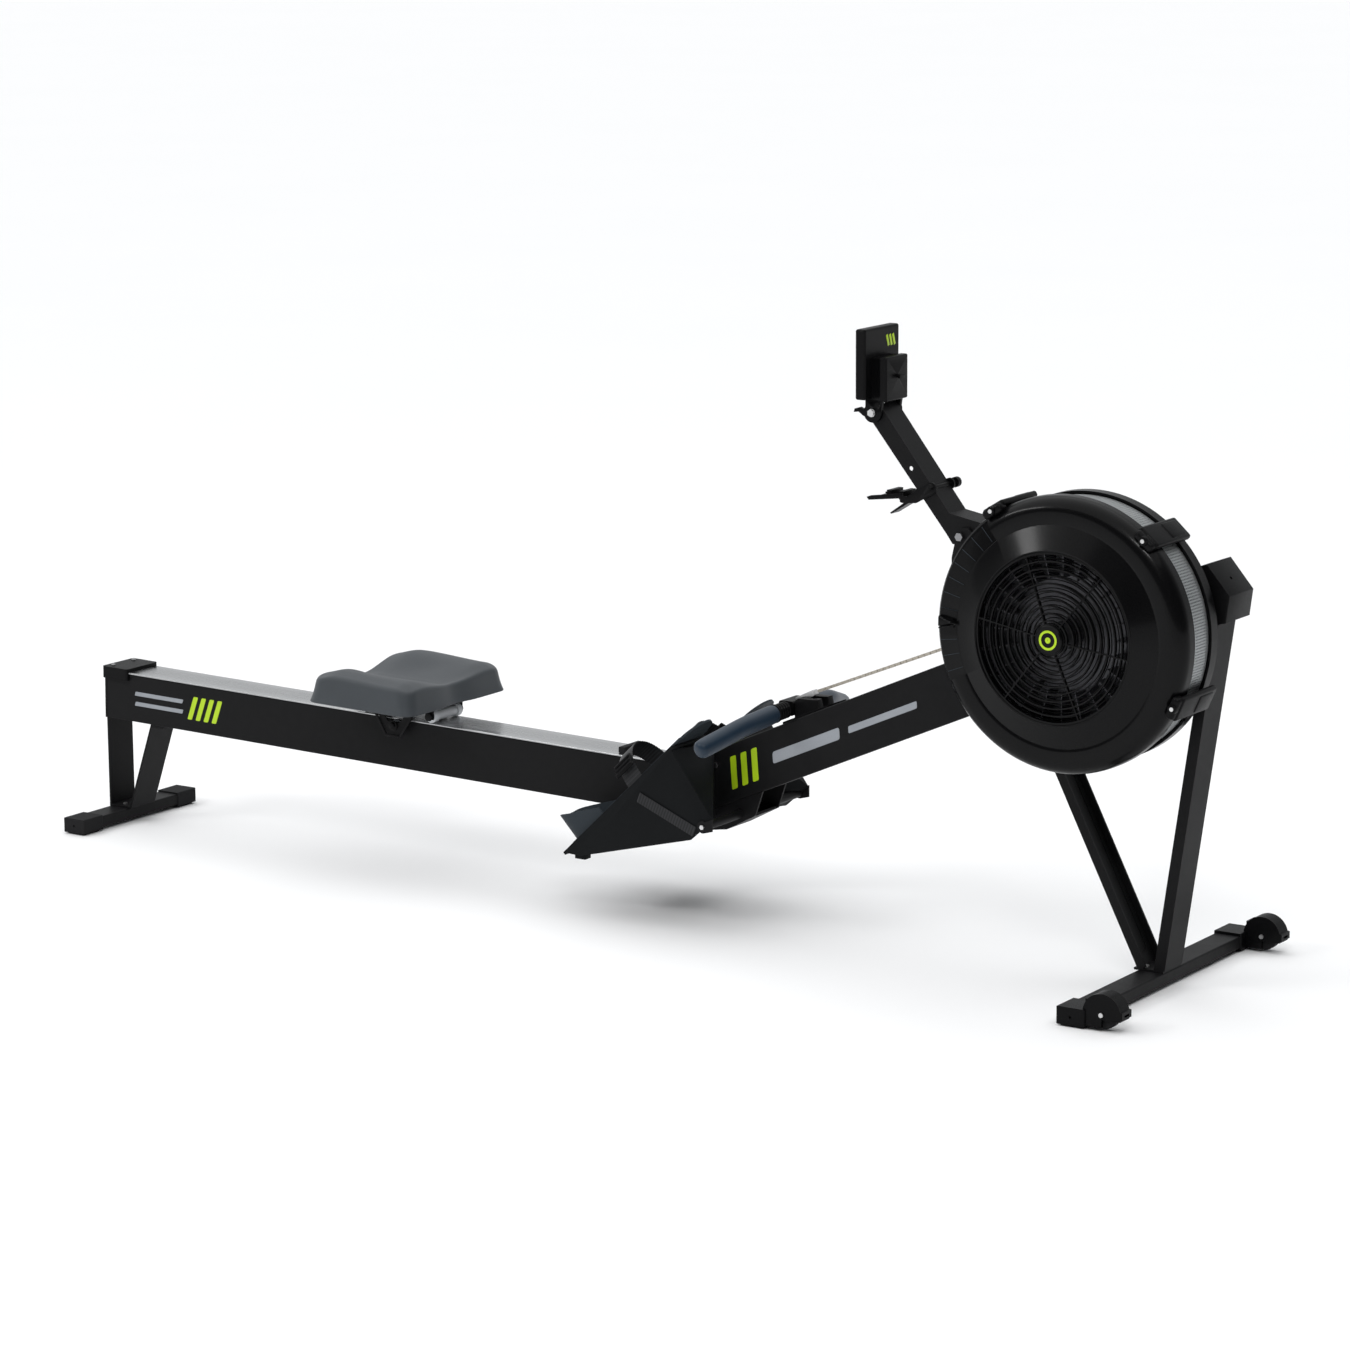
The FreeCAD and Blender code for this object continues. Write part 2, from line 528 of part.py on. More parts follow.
def make_chain():
    centre = V(FAN_AXIS.x, 0, FAN_AXIS.z)
    reach = centre - GUIDE
    lift = math.atan2(reach.z, reach.x) + math.asin(CHAIN_PITCH_R / reach.Length)
    top = centre + V(-math.sin(lift), 0, math.cos(lift)) * CHAIN_PITCH_R
    slope = math.radians(BEAM_SLOPE)
    bottom = centre + V(math.sin(slope), 0, -math.cos(slope)) * CHAIN_PITCH_R
    tail_w = (bottom - BEAM_REAR).dot(V(-math.sin(slope), 0, math.cos(slope)))
    tail = point_along(BEAM_REAR, BEAM_SLOPE, CHAIN_TAIL, tail_w)

    wrap = ring_y(centre.x, centre.z, CHAIN_PITCH_R + CHAIN_HALF, CHAIN_PITCH_R - CHAIN_HALF,
                  -CHAIN_HALF_WIDTH, CHAIN_HALF_WIDTH)
    far = 80.0
    side_top = centre + V(math.cos(lift), 0, math.sin(lift)) * far
    side_bottom = centre + V(math.cos(slope), 0, math.sin(slope)) * far
    wedge = [centre, centre + V(-math.sin(lift), 0, math.cos(lift)) * far,
             side_top + V(-math.sin(lift), 0, math.cos(lift)) * far, side_top,
             side_bottom, side_bottom + V(math.sin(slope), 0, -math.cos(slope)) * far,
             centre + V(math.sin(slope), 0, -math.cos(slope)) * far]
    keep = prism_y([(p.x, p.z) for p in wedge], -9, 9)
    chain = fuse(bar_between(CHAIN_START, GUIDE, CHAIN_HALF, CHAIN_HALF_WIDTH),
                 bar_between(GUIDE, top, CHAIN_HALF, CHAIN_HALF_WIDTH),
                 wrap.common(keep),
                 bar_between(tail, bottom, CHAIN_HALF, CHAIN_HALF_WIDTH))
    save("chain", chain)

    pulley_w = tail_w - TAIL_GROOVE_R - CORD_R
    tangent_top = point_along(BEAM_REAR, BEAM_SLOPE, TAIL_PULLEY_U, tail_w)
    hub = point_along(BEAM_REAR, BEAM_SLOPE, TAIL_PULLEY_U, pulley_w)
    tangent_low = point_along(BEAM_REAR, BEAM_SLOPE, TAIL_PULLEY_U, pulley_w - TAIL_GROOVE_R - CORD_R)
    back = point_along(BEAM_REAR, BEAM_SLOPE, CORD_ANCHOR_U, pulley_w - TAIL_GROOVE_R - CORD_R)
    along_beam = V(math.cos(slope), 0, math.sin(slope))
    upper = cyl(tangent_top, along_beam, CORD_R, (tail - tangent_top).Length)
    lower = cyl(tangent_low, along_beam, CORD_R, (back - tangent_low).Length)
    torus = Part.makeTorus(TAIL_GROOVE_R + CORD_R, CORD_R, hub, V(0, 1, 0))
    half_space = beam(box(TAIL_PULLEY_U - 60, TAIL_PULLEY_U, -20, 20, -60, 60))
    save("recoil_cord", fuse(upper, lower, torus.common(half_space)))

    pulley = fuse(ring_y(hub.x, hub.z, TAIL_GROOVE_R - 0.3, SCREW_R + BORE_GAP, -6, 6),
                  ring_y(hub.x, hub.z, TAIL_GROOVE_R + 3.0, SCREW_R + BORE_GAP, -8, -4.2),
                  ring_y(hub.x, hub.z, TAIL_GROOVE_R + 3.0, SCREW_R + BORE_GAP, 4.2, 8))
    save("recoil_pulley", pulley)
    pin = cyl_y(hub.x, hub.z, SCREW_R, -BEAM_HALF + WALL, BEAM_HALF - WALL)
    anchor = along(box(0, 10, -BEAM_HALF + WALL, BEAM_HALF - WALL, -6, 6), back, BEAM_SLOPE)

    roller = V(GUIDE.x, 0, GUIDE.z - CHAIN_HALF - GUIDE_GAP - GUIDE_R)
    save("guide_roller", ring_y(roller.x, roller.z, GUIDE_R, SMALL_PIN_R + BORE_GAP, -9, 9))
    return [pin, anchor], roller


def make_bracket(roller):
    """The upright channel on the beam that carries the monitor arm and guides the chain."""
    outline = [(690, beam_line(690, BEAM_HALF_HEIGHT)), (690, 700), (698, 735), (706, 751), (722, 753),
               (736, 738), (790, 640), (800, beam_line(800, BEAM_HALF_HEIGHT))]
    plates = [prism_y(outline, -34, -31), prism_y(outline, 31, 34)]
    web = prism_y([(775, 630), (779, 630), (741, 722), (737, 722)], -31, 31)
    floor = [(x, beam_line(x, BEAM_HALF_HEIGHT)) for x in (692, 698)]
    low = prism_y(floor + [(x, z + 10) for x, z in floor[::-1]], -31, 31)
    pin = cyl_y(roller.x, roller.z, SMALL_PIN_R, -31, 31)
    pivot_hole = cyl_y(ARM_PIVOT.x, ARM_PIVOT.z, ARM_PIN_R + BORE_GAP, -60, 60)
    save("monitor_bracket", fuse(*plates, web, low, pin).cut(pivot_hole))


# ---------------------------------------------------------------- handle
def capsule(points, radius):
    """A bar of round section through points, with round joints and ends."""
    shape = Part.makeSphere(radius, points[0])
    for a, b in zip(points, points[1:]):
        shape = shape.fuse(cyl(a, b - a, radius, (b - a).Length)).fuse(Part.makeSphere(radius, b))
    return shape


def make_handle():
    root = GRIP_ROOT
    core = capsule([V(root.x, root.y + 20, root.z - 1), HANDLE + V(0, 18, 0), HANDLE - V(0, 18, 0),
                    V(root.x, -root.y - 20, root.z - 1)], CORE_R - 1.5)
    clamp = soften(box(HANDLE.x - 16, HANDLE.x + 15, -26, 26, HANDLE.z - 11, HANDLE.z + 15), 5.0,
                   lambda e: runs(e, V(0, 1, 0)))
    sleeve = [cyl(V(HANDLE.x, s * 20, HANDLE.z), V(root.x - HANDLE.x, s * (root.y - 20), root.z - HANDLE.z),
                  CORE_R, V(root.x - HANDLE.x, root.y - 20, root.z - HANDLE.z).Length) for s in (-1, 1)]
    grip = capsule([root, GRIP_BEND, GRIP_END], GRIP_R)
    trim = box(200, 500, 0, root.y, 300, 500)
    stub = capsule([V(root.x, root.y + 20, root.z - 1), HANDLE + V(0, 18, 0)], CORE_R - 1.5)
    grip = grip.cut(trim).cut(stub)
    core = fuse(core, clamp, *sleeve)
    save("handle_core", core)
    grip = grip.cut(core)
    save("grip_left", grip)
    save("grip_right", mirror(grip))

    link = bar_between(V(HANDLE.x + 8, 0, HANDLE.z + 13.5), CHAIN_START, 5.0, 7.0)
    link = soften(link, 2.0, lambda e: runs(e, V(0, 1, 0)))
    save("chain_connector", link.cut(core))

    def top(x):
        return beam_line(x, BEAM_HALF_HEIGHT)

    base = prism_y([(348, top(348)), (442, top(442)), (442, top(442) + 4), (348, top(348) + 4)], -30, 30)
    body = prism_y([(370, top(370)), (420, top(420)), (416, top(416) + 20), (400, top(400) + 26),
                    (377, top(377) + 36), (370, top(370) + 33)], -26, 26)
    body = cut(body, box(340, 450, -9.5, 9.5, top(370) + 14, 480))
    saddle = cyl_y(HANDLE.x, HANDLE.z, CORE_R + 4.0, -40, 40)
    room = box(HANDLE.x - 24, HANDLE.x + 17.5, -30, 30, HANDLE.z - 12, HANDLE.z + 30)
    save("handle_holder", cut(fuse(base, body), saddle, room))


# ---------------------------------------------------------------- footrests
def board(shape):
    return along(shape, BOARD_TIP, BOARD_SLOPE)


def ellipse_arch(half_y, height, width, u0, centre_y):
    """Half of an elliptic ring standing on the board: a strap over the foot."""
    count = 13
    outer = []
    inner = []
    for k in range(count):
        a = math.pi * k / (count - 1)
        outer.append((centre_y + half_y * math.cos(a), height * math.sin(a)))
        inner.append((centre_y + (half_y - 2.4) * math.cos(a), (height - 2.4) * math.sin(a)))
    return prism_x(outer + inner[::-1], u0, u0 + width)


def make_footrest(side, name):
    def flip(shape):
        return shape if side > 0 else mirror(shape)

    mid = (BOARD_INNER + BOARD_OUTER) / 2
    deck = board(box(0, BOARD_LENGTH, BOARD_INNER, BOARD_OUTER, -6, 0))
    outline = [(-37, 115), (0, 113), (237, 173), (284, 214), (196, 331)]
    cheek = prism_y(outline, BOARD_OUTER - 3, BOARD_OUTER)
    low_out, high_out = V(284, BOARD_OUTER, 214), V(196, BOARD_OUTER, 331)
    low_in, high_in = V(213, BOARD_INNER, 186), V(213, BOARD_INNER, 322)
    mid_out = V(237, BOARD_OUTER, 173)
    push = V(-4, 0, 0)
    back = fuse(slab([low_out, high_out, high_in], push), slab([low_out, high_in, low_in], push),
                slab([mid_out, low_out, low_in], push))
    below_deck = board(box(-20, BOARD_LENGTH + 80, 0, 200, -260, -0.01))
    shell = fuse(deck, cheek, back.common(below_deck)).common(board(box(-20, BOARD_LENGTH, 0, 200, -400, 0)))
    foot_bump = box(-14, 8, BOARD_OUTER - 22, BOARD_OUTER - 4, 106, 116)
    tube_room = cyl_y(FOOT_TUBE.x, FOOT_TUBE.z, FOOT_TUBE_R + 0.3, 0, BOARD_OUTER - 3)
    save("footrest_shell_" + name, flip(fuse(shell, foot_bump).cut(tube_room)))

    plate_half = 44.0
    plate = box(14, PLATE_LENGTH - 40, mid - plate_half, mid + plate_half, 0.4, 4.0)
    toe = Part.makeCylinder(40, 3.6, V(PLATE_LENGTH - 40, mid, 0.4), V(0, 0, 1))
    neck = box(PLATE_LENGTH - 78, PLATE_LENGTH - 40, mid - 40, mid + 40, 0.4, 4.0)
    slots = [box(150 + 20 * k, 158 + 20 * k, mid + s * 30 - 7, mid + s * 30 + 7, -1, 6)
             for k in range(5) for s in (-1, 1)]
    heel_out = Part.makeCylinder(46, 60, V(58, mid, 0.4), V(0, 0, 1))
    heel_in = Part.makeCylinder(42.5, 70, V(58, mid, 4.0), V(0, 0, 1))
    walls = box(58, 112, mid - 46, mid - 42.5, 0.4, 60.4).fuse(box(58, 112, mid + 42.5, mid + 46, 0.4, 60.4))
    cup = fuse(heel_out.cut(box(58, 120, mid - 60, mid + 60, -1, 80)), walls)
    cup = cup.cut(heel_in).cut(box(58, 130, mid - 42.5, mid + 42.5, 4.0, 80))
    slope_cut = prism_y([(8, 66), (30, 58), (116, 14), (130, 14), (130, 90), (8, 90)], mid - 60, mid + 60)
    plate = plate.cut(box(0, 20, mid - 60, mid + 60, -1, 8))
    plate = cut(fuse(plate, toe, neck, cup.cut(slope_cut)), *slots)
    save("foot_plate_" + name, flip(board(plate)))

    strap_u = 196.0
    strap = ellipse_arch(53.0, 64.0, 38.0, strap_u, mid)
    tail_line = bar_between(V(128, 0, 238), V(246, 0, 190), 9.0, 1.0)
    tail_line.translate(V(0, BOARD_OUTER + 1.0, 0))
    save("foot_strap_" + name, flip(board(strap)), flip(tail_line))

    hinge_y = mid + 53.0 * math.cos(math.radians(38)) + 3.0
    hinge_w = 64.0 * math.sin(math.radians(38)) + 3.0
    lever = box(strap_u - 4, strap_u + 42, -3, 3, -24, 4)
    lever = soften(lever, 2.5, lambda e: runs(e, V(1, 0, 0)))
    lever = rotated(lever, V(0, 0, 0), V(1, 0, 0), 32)
    lever.translate(V(0, hinge_y + 3.6, hinge_w + 2.0))
    save("strap_buckle_" + name, flip(board(lever)))


def make_footrest_bracket():
    """The steel saddle under the beam that both footrests are bolted to, with its cross tube."""
    outline = [(170, 158), (236, 168), (296, 200)]
    outline += [(x, beam_line(x, -BEAM_HALF_HEIGHT)) for x in (312, 170)]
    cheeks = [prism_y(outline, -40, -36), prism_y(outline, 36, 40)]
    tube = cyl_y(FOOT_TUBE.x, FOOT_TUBE.z, FOOT_TUBE_R, -BOARD_OUTER + 3, BOARD_OUTER - 3)
    web = prism_y([(236, 168), (296, 200), (294, 204), (234, 172)], -36, 36)
    x, z = FOOT_TUBE.x, FOOT_TUBE.z
    disc = cyl_y(x, z, LUG_R, BOARD_OUTER, BOARD_OUTER + LUG_THICK)
    tab = prism_y([(x + 2, z - LUG_R), (x + 20, z - 6), (x + 20, z + 16), (x + 6, z + LUG_R - 1)],
                  BOARD_OUTER, BOARD_OUTER + LUG_THICK)
    lug = fuse(disc, tab)
    save("footrest_bracket", fuse(*cheeks, tube, web), lug, mirror(lug))


# ---------------------------------------------------------------- seat
def make_seat():
    length = PAD_HALF_LENGTH
    width = PAD_HALF_WIDTH
    side_view = [(-length, PAD_BOTTOM + 4), (-length + 5, 96), (-84, 102), (-40, 100), (40, 95), (92, 92),
                 (length - 6, 80), (length, PAD_BOTTOM + 4), (length - 5, PAD_BOTTOM),
                 (5 - length, PAD_BOTTOM)]
    front_half = [(width, PAD_BOTTOM + 4), (width - 7, 90), (width - 30, 102), (104, 102), (60, 90),
                  (20, 73)]
    front_view = [(-y, z) for y, z in front_half] + front_half[::-1]
    front_view += [(width - 5, PAD_BOTTOM), (5 - width, PAD_BOTTOM)]
    pad = prism_y(side_view, -width, width).common(prism_x(front_view, -length, length))
    column = box(-length, length, -width, width, 0, 150)
    pad = pad.common(soften(column, PAD_CORNER_R, lambda e: runs(e, V(0, 0, 1))))
    pad.translate(V(PAD_SHIFT, 0, 0))

    def on_rail(shape):
        moved = shape.copy()
        moved.translate(V(SEAT_U, 0, 0))
        return rail(moved)

    save("seat_pad", on_rail(pad))

    plate = soften(box(-92, 92, -46, 46, 27.6, PAD_BOTTOM), 10.0, lambda e: runs(e, V(0, 0, 1)))
    ears = [box(u - 9, u + 9, s * 44.5 - 1.5, s * 44.5 + 1.5, 8, 28) for u in (-ROLLER_SPAN, ROLLER_SPAN)
            for s in (-1, 1)]
    axles = [cyl_y(u, ROLLER_R, SCREW_R, -46, 46) for u in (-ROLLER_SPAN, ROLLER_SPAN)]
    vees = []
    for s in (-1, 1):
        y0, y1 = sorted((s * 47.5, s * 51.0))
        vee = prism_y([(-54, 30), (52, 30), (16, -26), (-16, -26)], y0, y1)
        window = prism_y([(-34, 20), (34, 20), (14, -6), (-14, -6)], y0 - 1, y1 + 1)
        tie = box(-54, 52, min(s * 44, s * 51), max(s * 44, s * 51), 27.6, 30)
        pin0, pin1 = sorted((s * 39.4, s * 54.0))
        pin = cyl_y(0, LOWER_ROLLER_W, SMALL_PIN_R, pin0, pin1)
        vees += [vee.cut(window), tie, pin]
    save("seat_carriage", on_rail(fuse(plate, *ears, *axles, *vees)))

    for u, name in ((ROLLER_SPAN, "front"), (-ROLLER_SPAN, "rear")):
        spool = fuse(ring_y(u, ROLLER_R, ROLLER_R - 0.3, SCREW_R + BORE_GAP, -41, 41).cut(
            ring_y(u, ROLLER_R, 30, ROLLER_R - 3.0, -30, 30)))
        save("top_roller_" + name, on_rail(spool))
    for s, name in ((1, "left"), (-1, "right")):
        y0, y1 = sorted((s * 38.6, s * 46.6))
        roller = ring_y(0, LOWER_ROLLER_W, LOWER_ROLLER_R, SMALL_PIN_R + BORE_GAP, y0, y1)
        save("lower_roller_" + name, on_rail(roller))


# ---------------------------------------------------------------- monitor
def make_monitor():
    # arm: an open channel from the tilt pivot down to the elbow and forward to its base pivot
    outline = [(519.5, 930), (677, 737), (688, 722), (704, 720), (722, 724), (733, 738), (742, 763),
               (681, 774), (551, 940), (541, 952), (526, 951)]
    solid = prism_y(outline, -ARM_HALF, ARM_HALF)
    hollow = prism_y([(505, 920), (670, 716), (690, 700), (745, 700), (745, 757), (679, 770), (549, 935),
                      (538, 960), (505, 960)], -ARM_HALF + 2.5, ARM_HALF - 2.5)
    solid = solid.cut(hollow)
    hole = cyl_y(605.6, 844.9, 4.0, -40, 40)
    base_pin = cyl_y(ARM_PIVOT.x, ARM_PIVOT.z, ARM_PIN_R, -38, 38)
    bosses = [cyl_y(ARM_PIVOT.x, ARM_PIVOT.z, 13.0, *sorted((s * 28, s * 30.6))) for s in (-1, 1)]
    arm = fuse(solid.cut(hole), *bosses)
    bores = [cyl_y(ARM_PIVOT.x, ARM_PIVOT.z, ARM_PIN_R + BORE_GAP, -50, 50)]
    bores += [cyl_y(pivot.x, pivot.z, PIVOT_PIN_R + BORE_GAP, -50, 50)
              for pivot in (TILT_PIVOT, HOLDER_PIVOT)]
    save("monitor_arm", cut(arm, *bores))
    heads = [bolt(ARM_PIVOT.x, ARM_PIVOT.z, s * 38, s, 7.5, 4.0) for s in (-1, 1)]
    arm_pins = fuse(base_pin, *heads)

    x0 = MONITOR_FACE_X
    case = soften(box(x0, x0 + 20, -MONITOR_HALF, MONITOR_HALF, MONITOR_BOTTOM, MONITOR_TOP), 4.0,
                  lambda e: runs(e, V(0, 1, 0)) or runs(e, V(1, 0, 0)) or runs(e, V(0, 0, 1)))
    recess = box(x0 - 1, x0 + 2, -42, 30, 985, 1068)
    wells = [box(x0 - 1, x0 + 6, 36, 50, z - 7, z + 7) for z in KEY_HEIGHTS]
    save("monitor_case", cut(case, recess, *wells))
    save("monitor_screen", box(x0 + 0.6, x0 + 2, -42, 30, 985, 1068))
    for k, z in enumerate(KEY_HEIGHTS):
        key = soften(box(x0 - 2, x0 + 4.4, 36.6, 49.4, z - 6.4, z + 6.4), 1.5, lambda e: runs(e, V(1, 0, 0)))
        save("monitor_key_%d" % (k + 1), key)

    pack = soften(box(x0 + 35, x0 + 50, -36, 36, 956, 1032), 3.0, lambda e: True)
    neck = box(x0 + 20, x0 + 35.2, -34, 34, 962, 1030)
    ear = [(518, 962), (518, 940), (533, 919), (548, 930), (553, 962)]
    ears = [prism_y(ear, *sorted((s * 28.4, s * 34))) for s in (-1, 1)]
    discs = [cyl_y(TILT_PIVOT.x, TILT_PIVOT.z, 17.0, *sorted((s * 28.4, s * 36))) for s in (-1, 1)]
    shelf = box(518, 546, -34, 34, 956.5, 962)
    pin = cyl_y(TILT_PIVOT.x, TILT_PIVOT.z, PIVOT_PIN_R, -36, 36)
    heads = [bolt(TILT_PIVOT.x, TILT_PIVOT.z, s * 36, s, 6.0, 4.0) for s in (-1, 1)]
    hook = prism_y([(520, 938), (508, 944), (498, 941), (496, 935), (506, 936), (516, 929)], -36, -28.4)
    knob = fuse(cyl(V(x0 + 50, 3, 997), V(1, 0, 0), 3.5, 7), box(x0 + 55, x0 + 59, -6, 12, 994, 1000))
    mount = fuse(neck, pack, *ears, *discs, shelf, hook, pin, *heads, knob)
    case_room = box(x0 - 5, x0 + 20, -MONITOR_HALF - 1, MONITOR_HALF + 1, MONITOR_BOTTOM, 1100)
    save("monitor_mount", mount.cut(case_room))
    return arm_pins


def make_device_holder():
    x, z = HOLDER_PIVOT.x, HOLDER_PIVOT.z
    parts = []
    for s in (-1, 1):
        y0, y1 = sorted((s * 28.6, s * 32.5))
        parts.append(cyl_y(x, z, 10.0, y0, y1))
        parts.append(prism_y([(x - 4, z + 9), (x - 48, z - 18), (x - 66, z - 20), (x - 58, z - 30),
                              (x - 30, z - 28), (x + 6, z - 8)], y0, y1))
        parts.append(prism_y([(x - 58, z - 22), (x - 124, z - 30), (x - 128, z - 25), (x - 120, z - 22),
                              (x - 58, z - 14)], y0, y1))
    shelf = [(x - 60, z - 18), (x - 122, z - 26), (x - 122, z - 29), (x - 60, z - 21)]
    parts.append(prism_y(shelf, -32.5, 32.5))
    for u in (-70.0, -95.0):
        parts.append(box(x + u, x + u + 9, -20, 20, z - 24, z - 12))
    parts.append(prism_y([(x - 52, z - 24), (x - 92, z - 52), (x - 90, z - 54), (x - 46, z - 27)], -14, 14))
    parts.append(box(x - 62, x - 44, -32, 32, z - 29, z - 24))
    pin = fuse(cyl_y(x, z, PIVOT_PIN_R, -36, 50), cyl_y(x, z, 9.0, 46, 56))
    save("device_holder", fuse(parts[0], *parts[1:], pin))


# ---------------------------------------------------------------- fasteners
def make_fasteners(extra):
    screws = list(extra)
    for x, y in ((1066, -20), (1066, 20), (1088, -20), (1088, 20)):
        screws.append(cyl(V(x, y, FOOT_TOP + STRIP), V(0, 0, 1), 4.5, 3.5))
    for y in (-20, 20):
        screws.append(cyl(V(-1188, y, FOOT_TOP + STRIP), V(0, 0, 1), 4.0, 3.0))
    for u, y in ((8, -30), (8, 30)):
        screws.append(rail(cyl(V(u, y, 7), V(0, 0, 1), 4.0, 2.2)))
    screws.append(bolt(213, 283, -BEAM_HALF, -1, 5.5, 4.0))
    screws.append(bolt(213, 283, BEAM_HALF, 1, 5.5, 4.0))
    for s in (-1, 1):
        y0 = CASTER_Y - 19 if s > 0 else -CASTER_Y - 19
        screws.append(cyl_y(CASTER_AXLE.x, CASTER_AXLE.z, SCREW_R, y0, y0 + 38))
        screws.append(bolt(FOOT_TUBE.x, FOOT_TUBE.z, s * (BOARD_OUTER + LUG_THICK), s, 4.5, 3.0))
    return screws


def main():
    make_rail()
    make_rear_leg()
    make_beam()
    make_front_leg()
    make_near_cover()
    make_grille()
    make_damper()
    screws = make_cage_rest()
    make_flywheel()
    pins, roller = make_chain()
    make_bracket(roller)
    make_handle()
    for side, name in ((1, "left"), (-1, "right")):
        make_footrest(side, name)
    make_footrest_bracket()
    make_seat()
    arm_pins = make_monitor()
    make_device_holder()
    save("frame_pins", *pins, arm_pins)
    save("fasteners", *make_fasteners(screws))


main()
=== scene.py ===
# %% [markdown]
# # An air rowing machine, dressed in Blender
# The CAD model of a rowing machine is loaded as a fixed frame: a steel rail with a rolling seat, a
# sloping beam, a caged fan and a handle on a chain. This lesson gives every part its finish and adds
# the soft, woven, perforated and linked pieces that solid CAD can't describe well.

# %% Load the frame
import json
import math

import bmesh
import bpy
from mathutils import Matrix, Vector


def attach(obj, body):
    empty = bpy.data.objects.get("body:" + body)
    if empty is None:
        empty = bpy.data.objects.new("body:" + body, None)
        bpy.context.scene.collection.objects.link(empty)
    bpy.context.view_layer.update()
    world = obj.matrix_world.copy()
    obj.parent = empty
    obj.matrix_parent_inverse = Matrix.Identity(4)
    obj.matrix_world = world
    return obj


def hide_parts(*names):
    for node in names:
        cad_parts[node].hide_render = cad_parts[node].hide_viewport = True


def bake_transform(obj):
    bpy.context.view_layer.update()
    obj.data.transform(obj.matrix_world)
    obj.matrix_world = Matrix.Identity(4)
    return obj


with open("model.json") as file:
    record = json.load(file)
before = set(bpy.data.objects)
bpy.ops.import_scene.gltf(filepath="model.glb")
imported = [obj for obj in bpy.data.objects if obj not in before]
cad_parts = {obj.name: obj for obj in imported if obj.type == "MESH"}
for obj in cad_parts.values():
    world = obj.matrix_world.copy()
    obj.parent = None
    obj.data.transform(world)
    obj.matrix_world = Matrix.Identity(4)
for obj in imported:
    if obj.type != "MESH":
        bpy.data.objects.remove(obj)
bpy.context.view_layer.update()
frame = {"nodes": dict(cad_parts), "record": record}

# %% [markdown]
# ## Camera
# A catalogue picture of such a long machine is taken from far away with a long lens, so that the rail
# and the fan keep their proportions. The camera stands ahead of the fan on the rower's right. Its
# rotation is built from three plain turns: heading, tilt below the horizon, and a trace of roll.

# %% Camera
CAMERA_PLACE = (4.332, -6.325, 1.975)
HEADING, TILT, ROLL = 33.781, 78.5, -0.36
LENS, SENSOR, FAR_CLIP = 115.66, 36.0, 200.0

camera = bpy.data.objects.new("camera", bpy.data.cameras.new("camera"))
camera.data.lens = LENS
camera.data.sensor_width = SENSOR
camera.data.clip_end = FAR_CLIP
turn = (Matrix.Rotation(math.radians(HEADING), 4, "Z") @ Matrix.Rotation(math.radians(TILT), 4, "X")
        @ Matrix.Rotation(math.radians(ROLL), 4, "Z"))
camera.matrix_world = Matrix.Translation(CAMERA_PLACE) @ turn
bpy.context.scene.collection.objects.link(camera)
bpy.context.scene.camera = camera
bpy.context.scene.view_settings.view_transform = "Standard"
print("camera looks along", tuple(round(x, 3) for x in turn @ Vector((0, 0, -1))))

# %% [markdown]
# ## Studio
# Black objects are lit by what they mirror. A pale floor and a bright wall on the far side give the
# steel track its sheen, while the room behind the camera stays dim so that black paint stays black.
# One very wide overhead source gives the soft shadow under the machine.

# %% Floor
FLOOR_REACH = 90.0


def studio_floor():
    mesh = bmesh.new()
    bmesh.ops.create_grid(mesh, x_segments=1, y_segments=1, size=FLOOR_REACH)
    data = bpy.data.meshes.new("studio_floor")
    mesh.to_mesh(data)
    mesh.free()
    floor = bpy.data.objects.new("studio_floor", data)
    bpy.context.scene.collection.objects.link(floor)
    return floor


floor = studio_floor()
print("floor:", 2 * FLOOR_REACH, "m across")

# %% Sky
BRIGHT_WALL = (-0.53, 0.79, 0.30)
WALL_EDGE = (-0.35, 0.75)
SKY_DIM, SKY_BRIGHT = 0.05, 0.70

world = bpy.data.worlds.new("studio")
world.use_nodes = True
bpy.context.scene.world = world
sky = world.node_tree
backdrop = sky.nodes["Background"]
where = sky.nodes.new("ShaderNodeTexCoord")
facing = sky.nodes.new("ShaderNodeVectorMath")
facing.operation = "DOT_PRODUCT"
facing.inputs[1].default_value = BRIGHT_WALL
ramp = sky.nodes.new("ShaderNodeMapRange")
ramp.interpolation_type = "SMOOTHSTEP"
for socket, value in zip(("From Min", "From Max", "To Min", "To Max"), (*WALL_EDGE, SKY_DIM, SKY_BRIGHT)):
    ramp.inputs[socket].default_value = value
sky.links.new(where.outputs["Generated"], facing.inputs[0])
sky.links.new(facing.outputs["Value"], ramp.inputs["Value"])
sky.links.new(ramp.outputs["Result"], backdrop.inputs["Strength"])
backdrop.inputs["Color"].default_value = (0.97, 0.985, 1.0, 1.0)
print("sky strength from", SKY_DIM, "to", SKY_BRIGHT)


# %% Lights
def lamp(name, kind, power, place, aim, size):
    light = bpy.data.lights.new(name, kind)
    light.energy = power
    if kind == "SUN":
        light.angle = math.radians(size)
    else:
        light.shape = "RECTANGLE"
        light.size, light.size_y = size
    holder = bpy.data.objects.new(name, light)
    holder.matrix_world = (Matrix.Translation(place)
                           @ (Vector(aim) - Vector(place)).to_track_quat("-Z", "Y").to_matrix().to_4x4())
    bpy.context.scene.collection.objects.link(holder)


lamp("overhead", "SUN", 2.15, (-0.6, -0.4, 5.0), (0.0, 0.2, 0.0), 105.0)
lamp("left_softbox", "AREA", 42.0, (-2.6, -3.4, 3.0), (0.3, 0.0, 0.4), (1.8, 0.40))
lamp("fan_softbox", "AREA", 30.0, (2.4, -3.0, 3.4), (0.95, -0.15, 0.6), (1.3, 0.30))

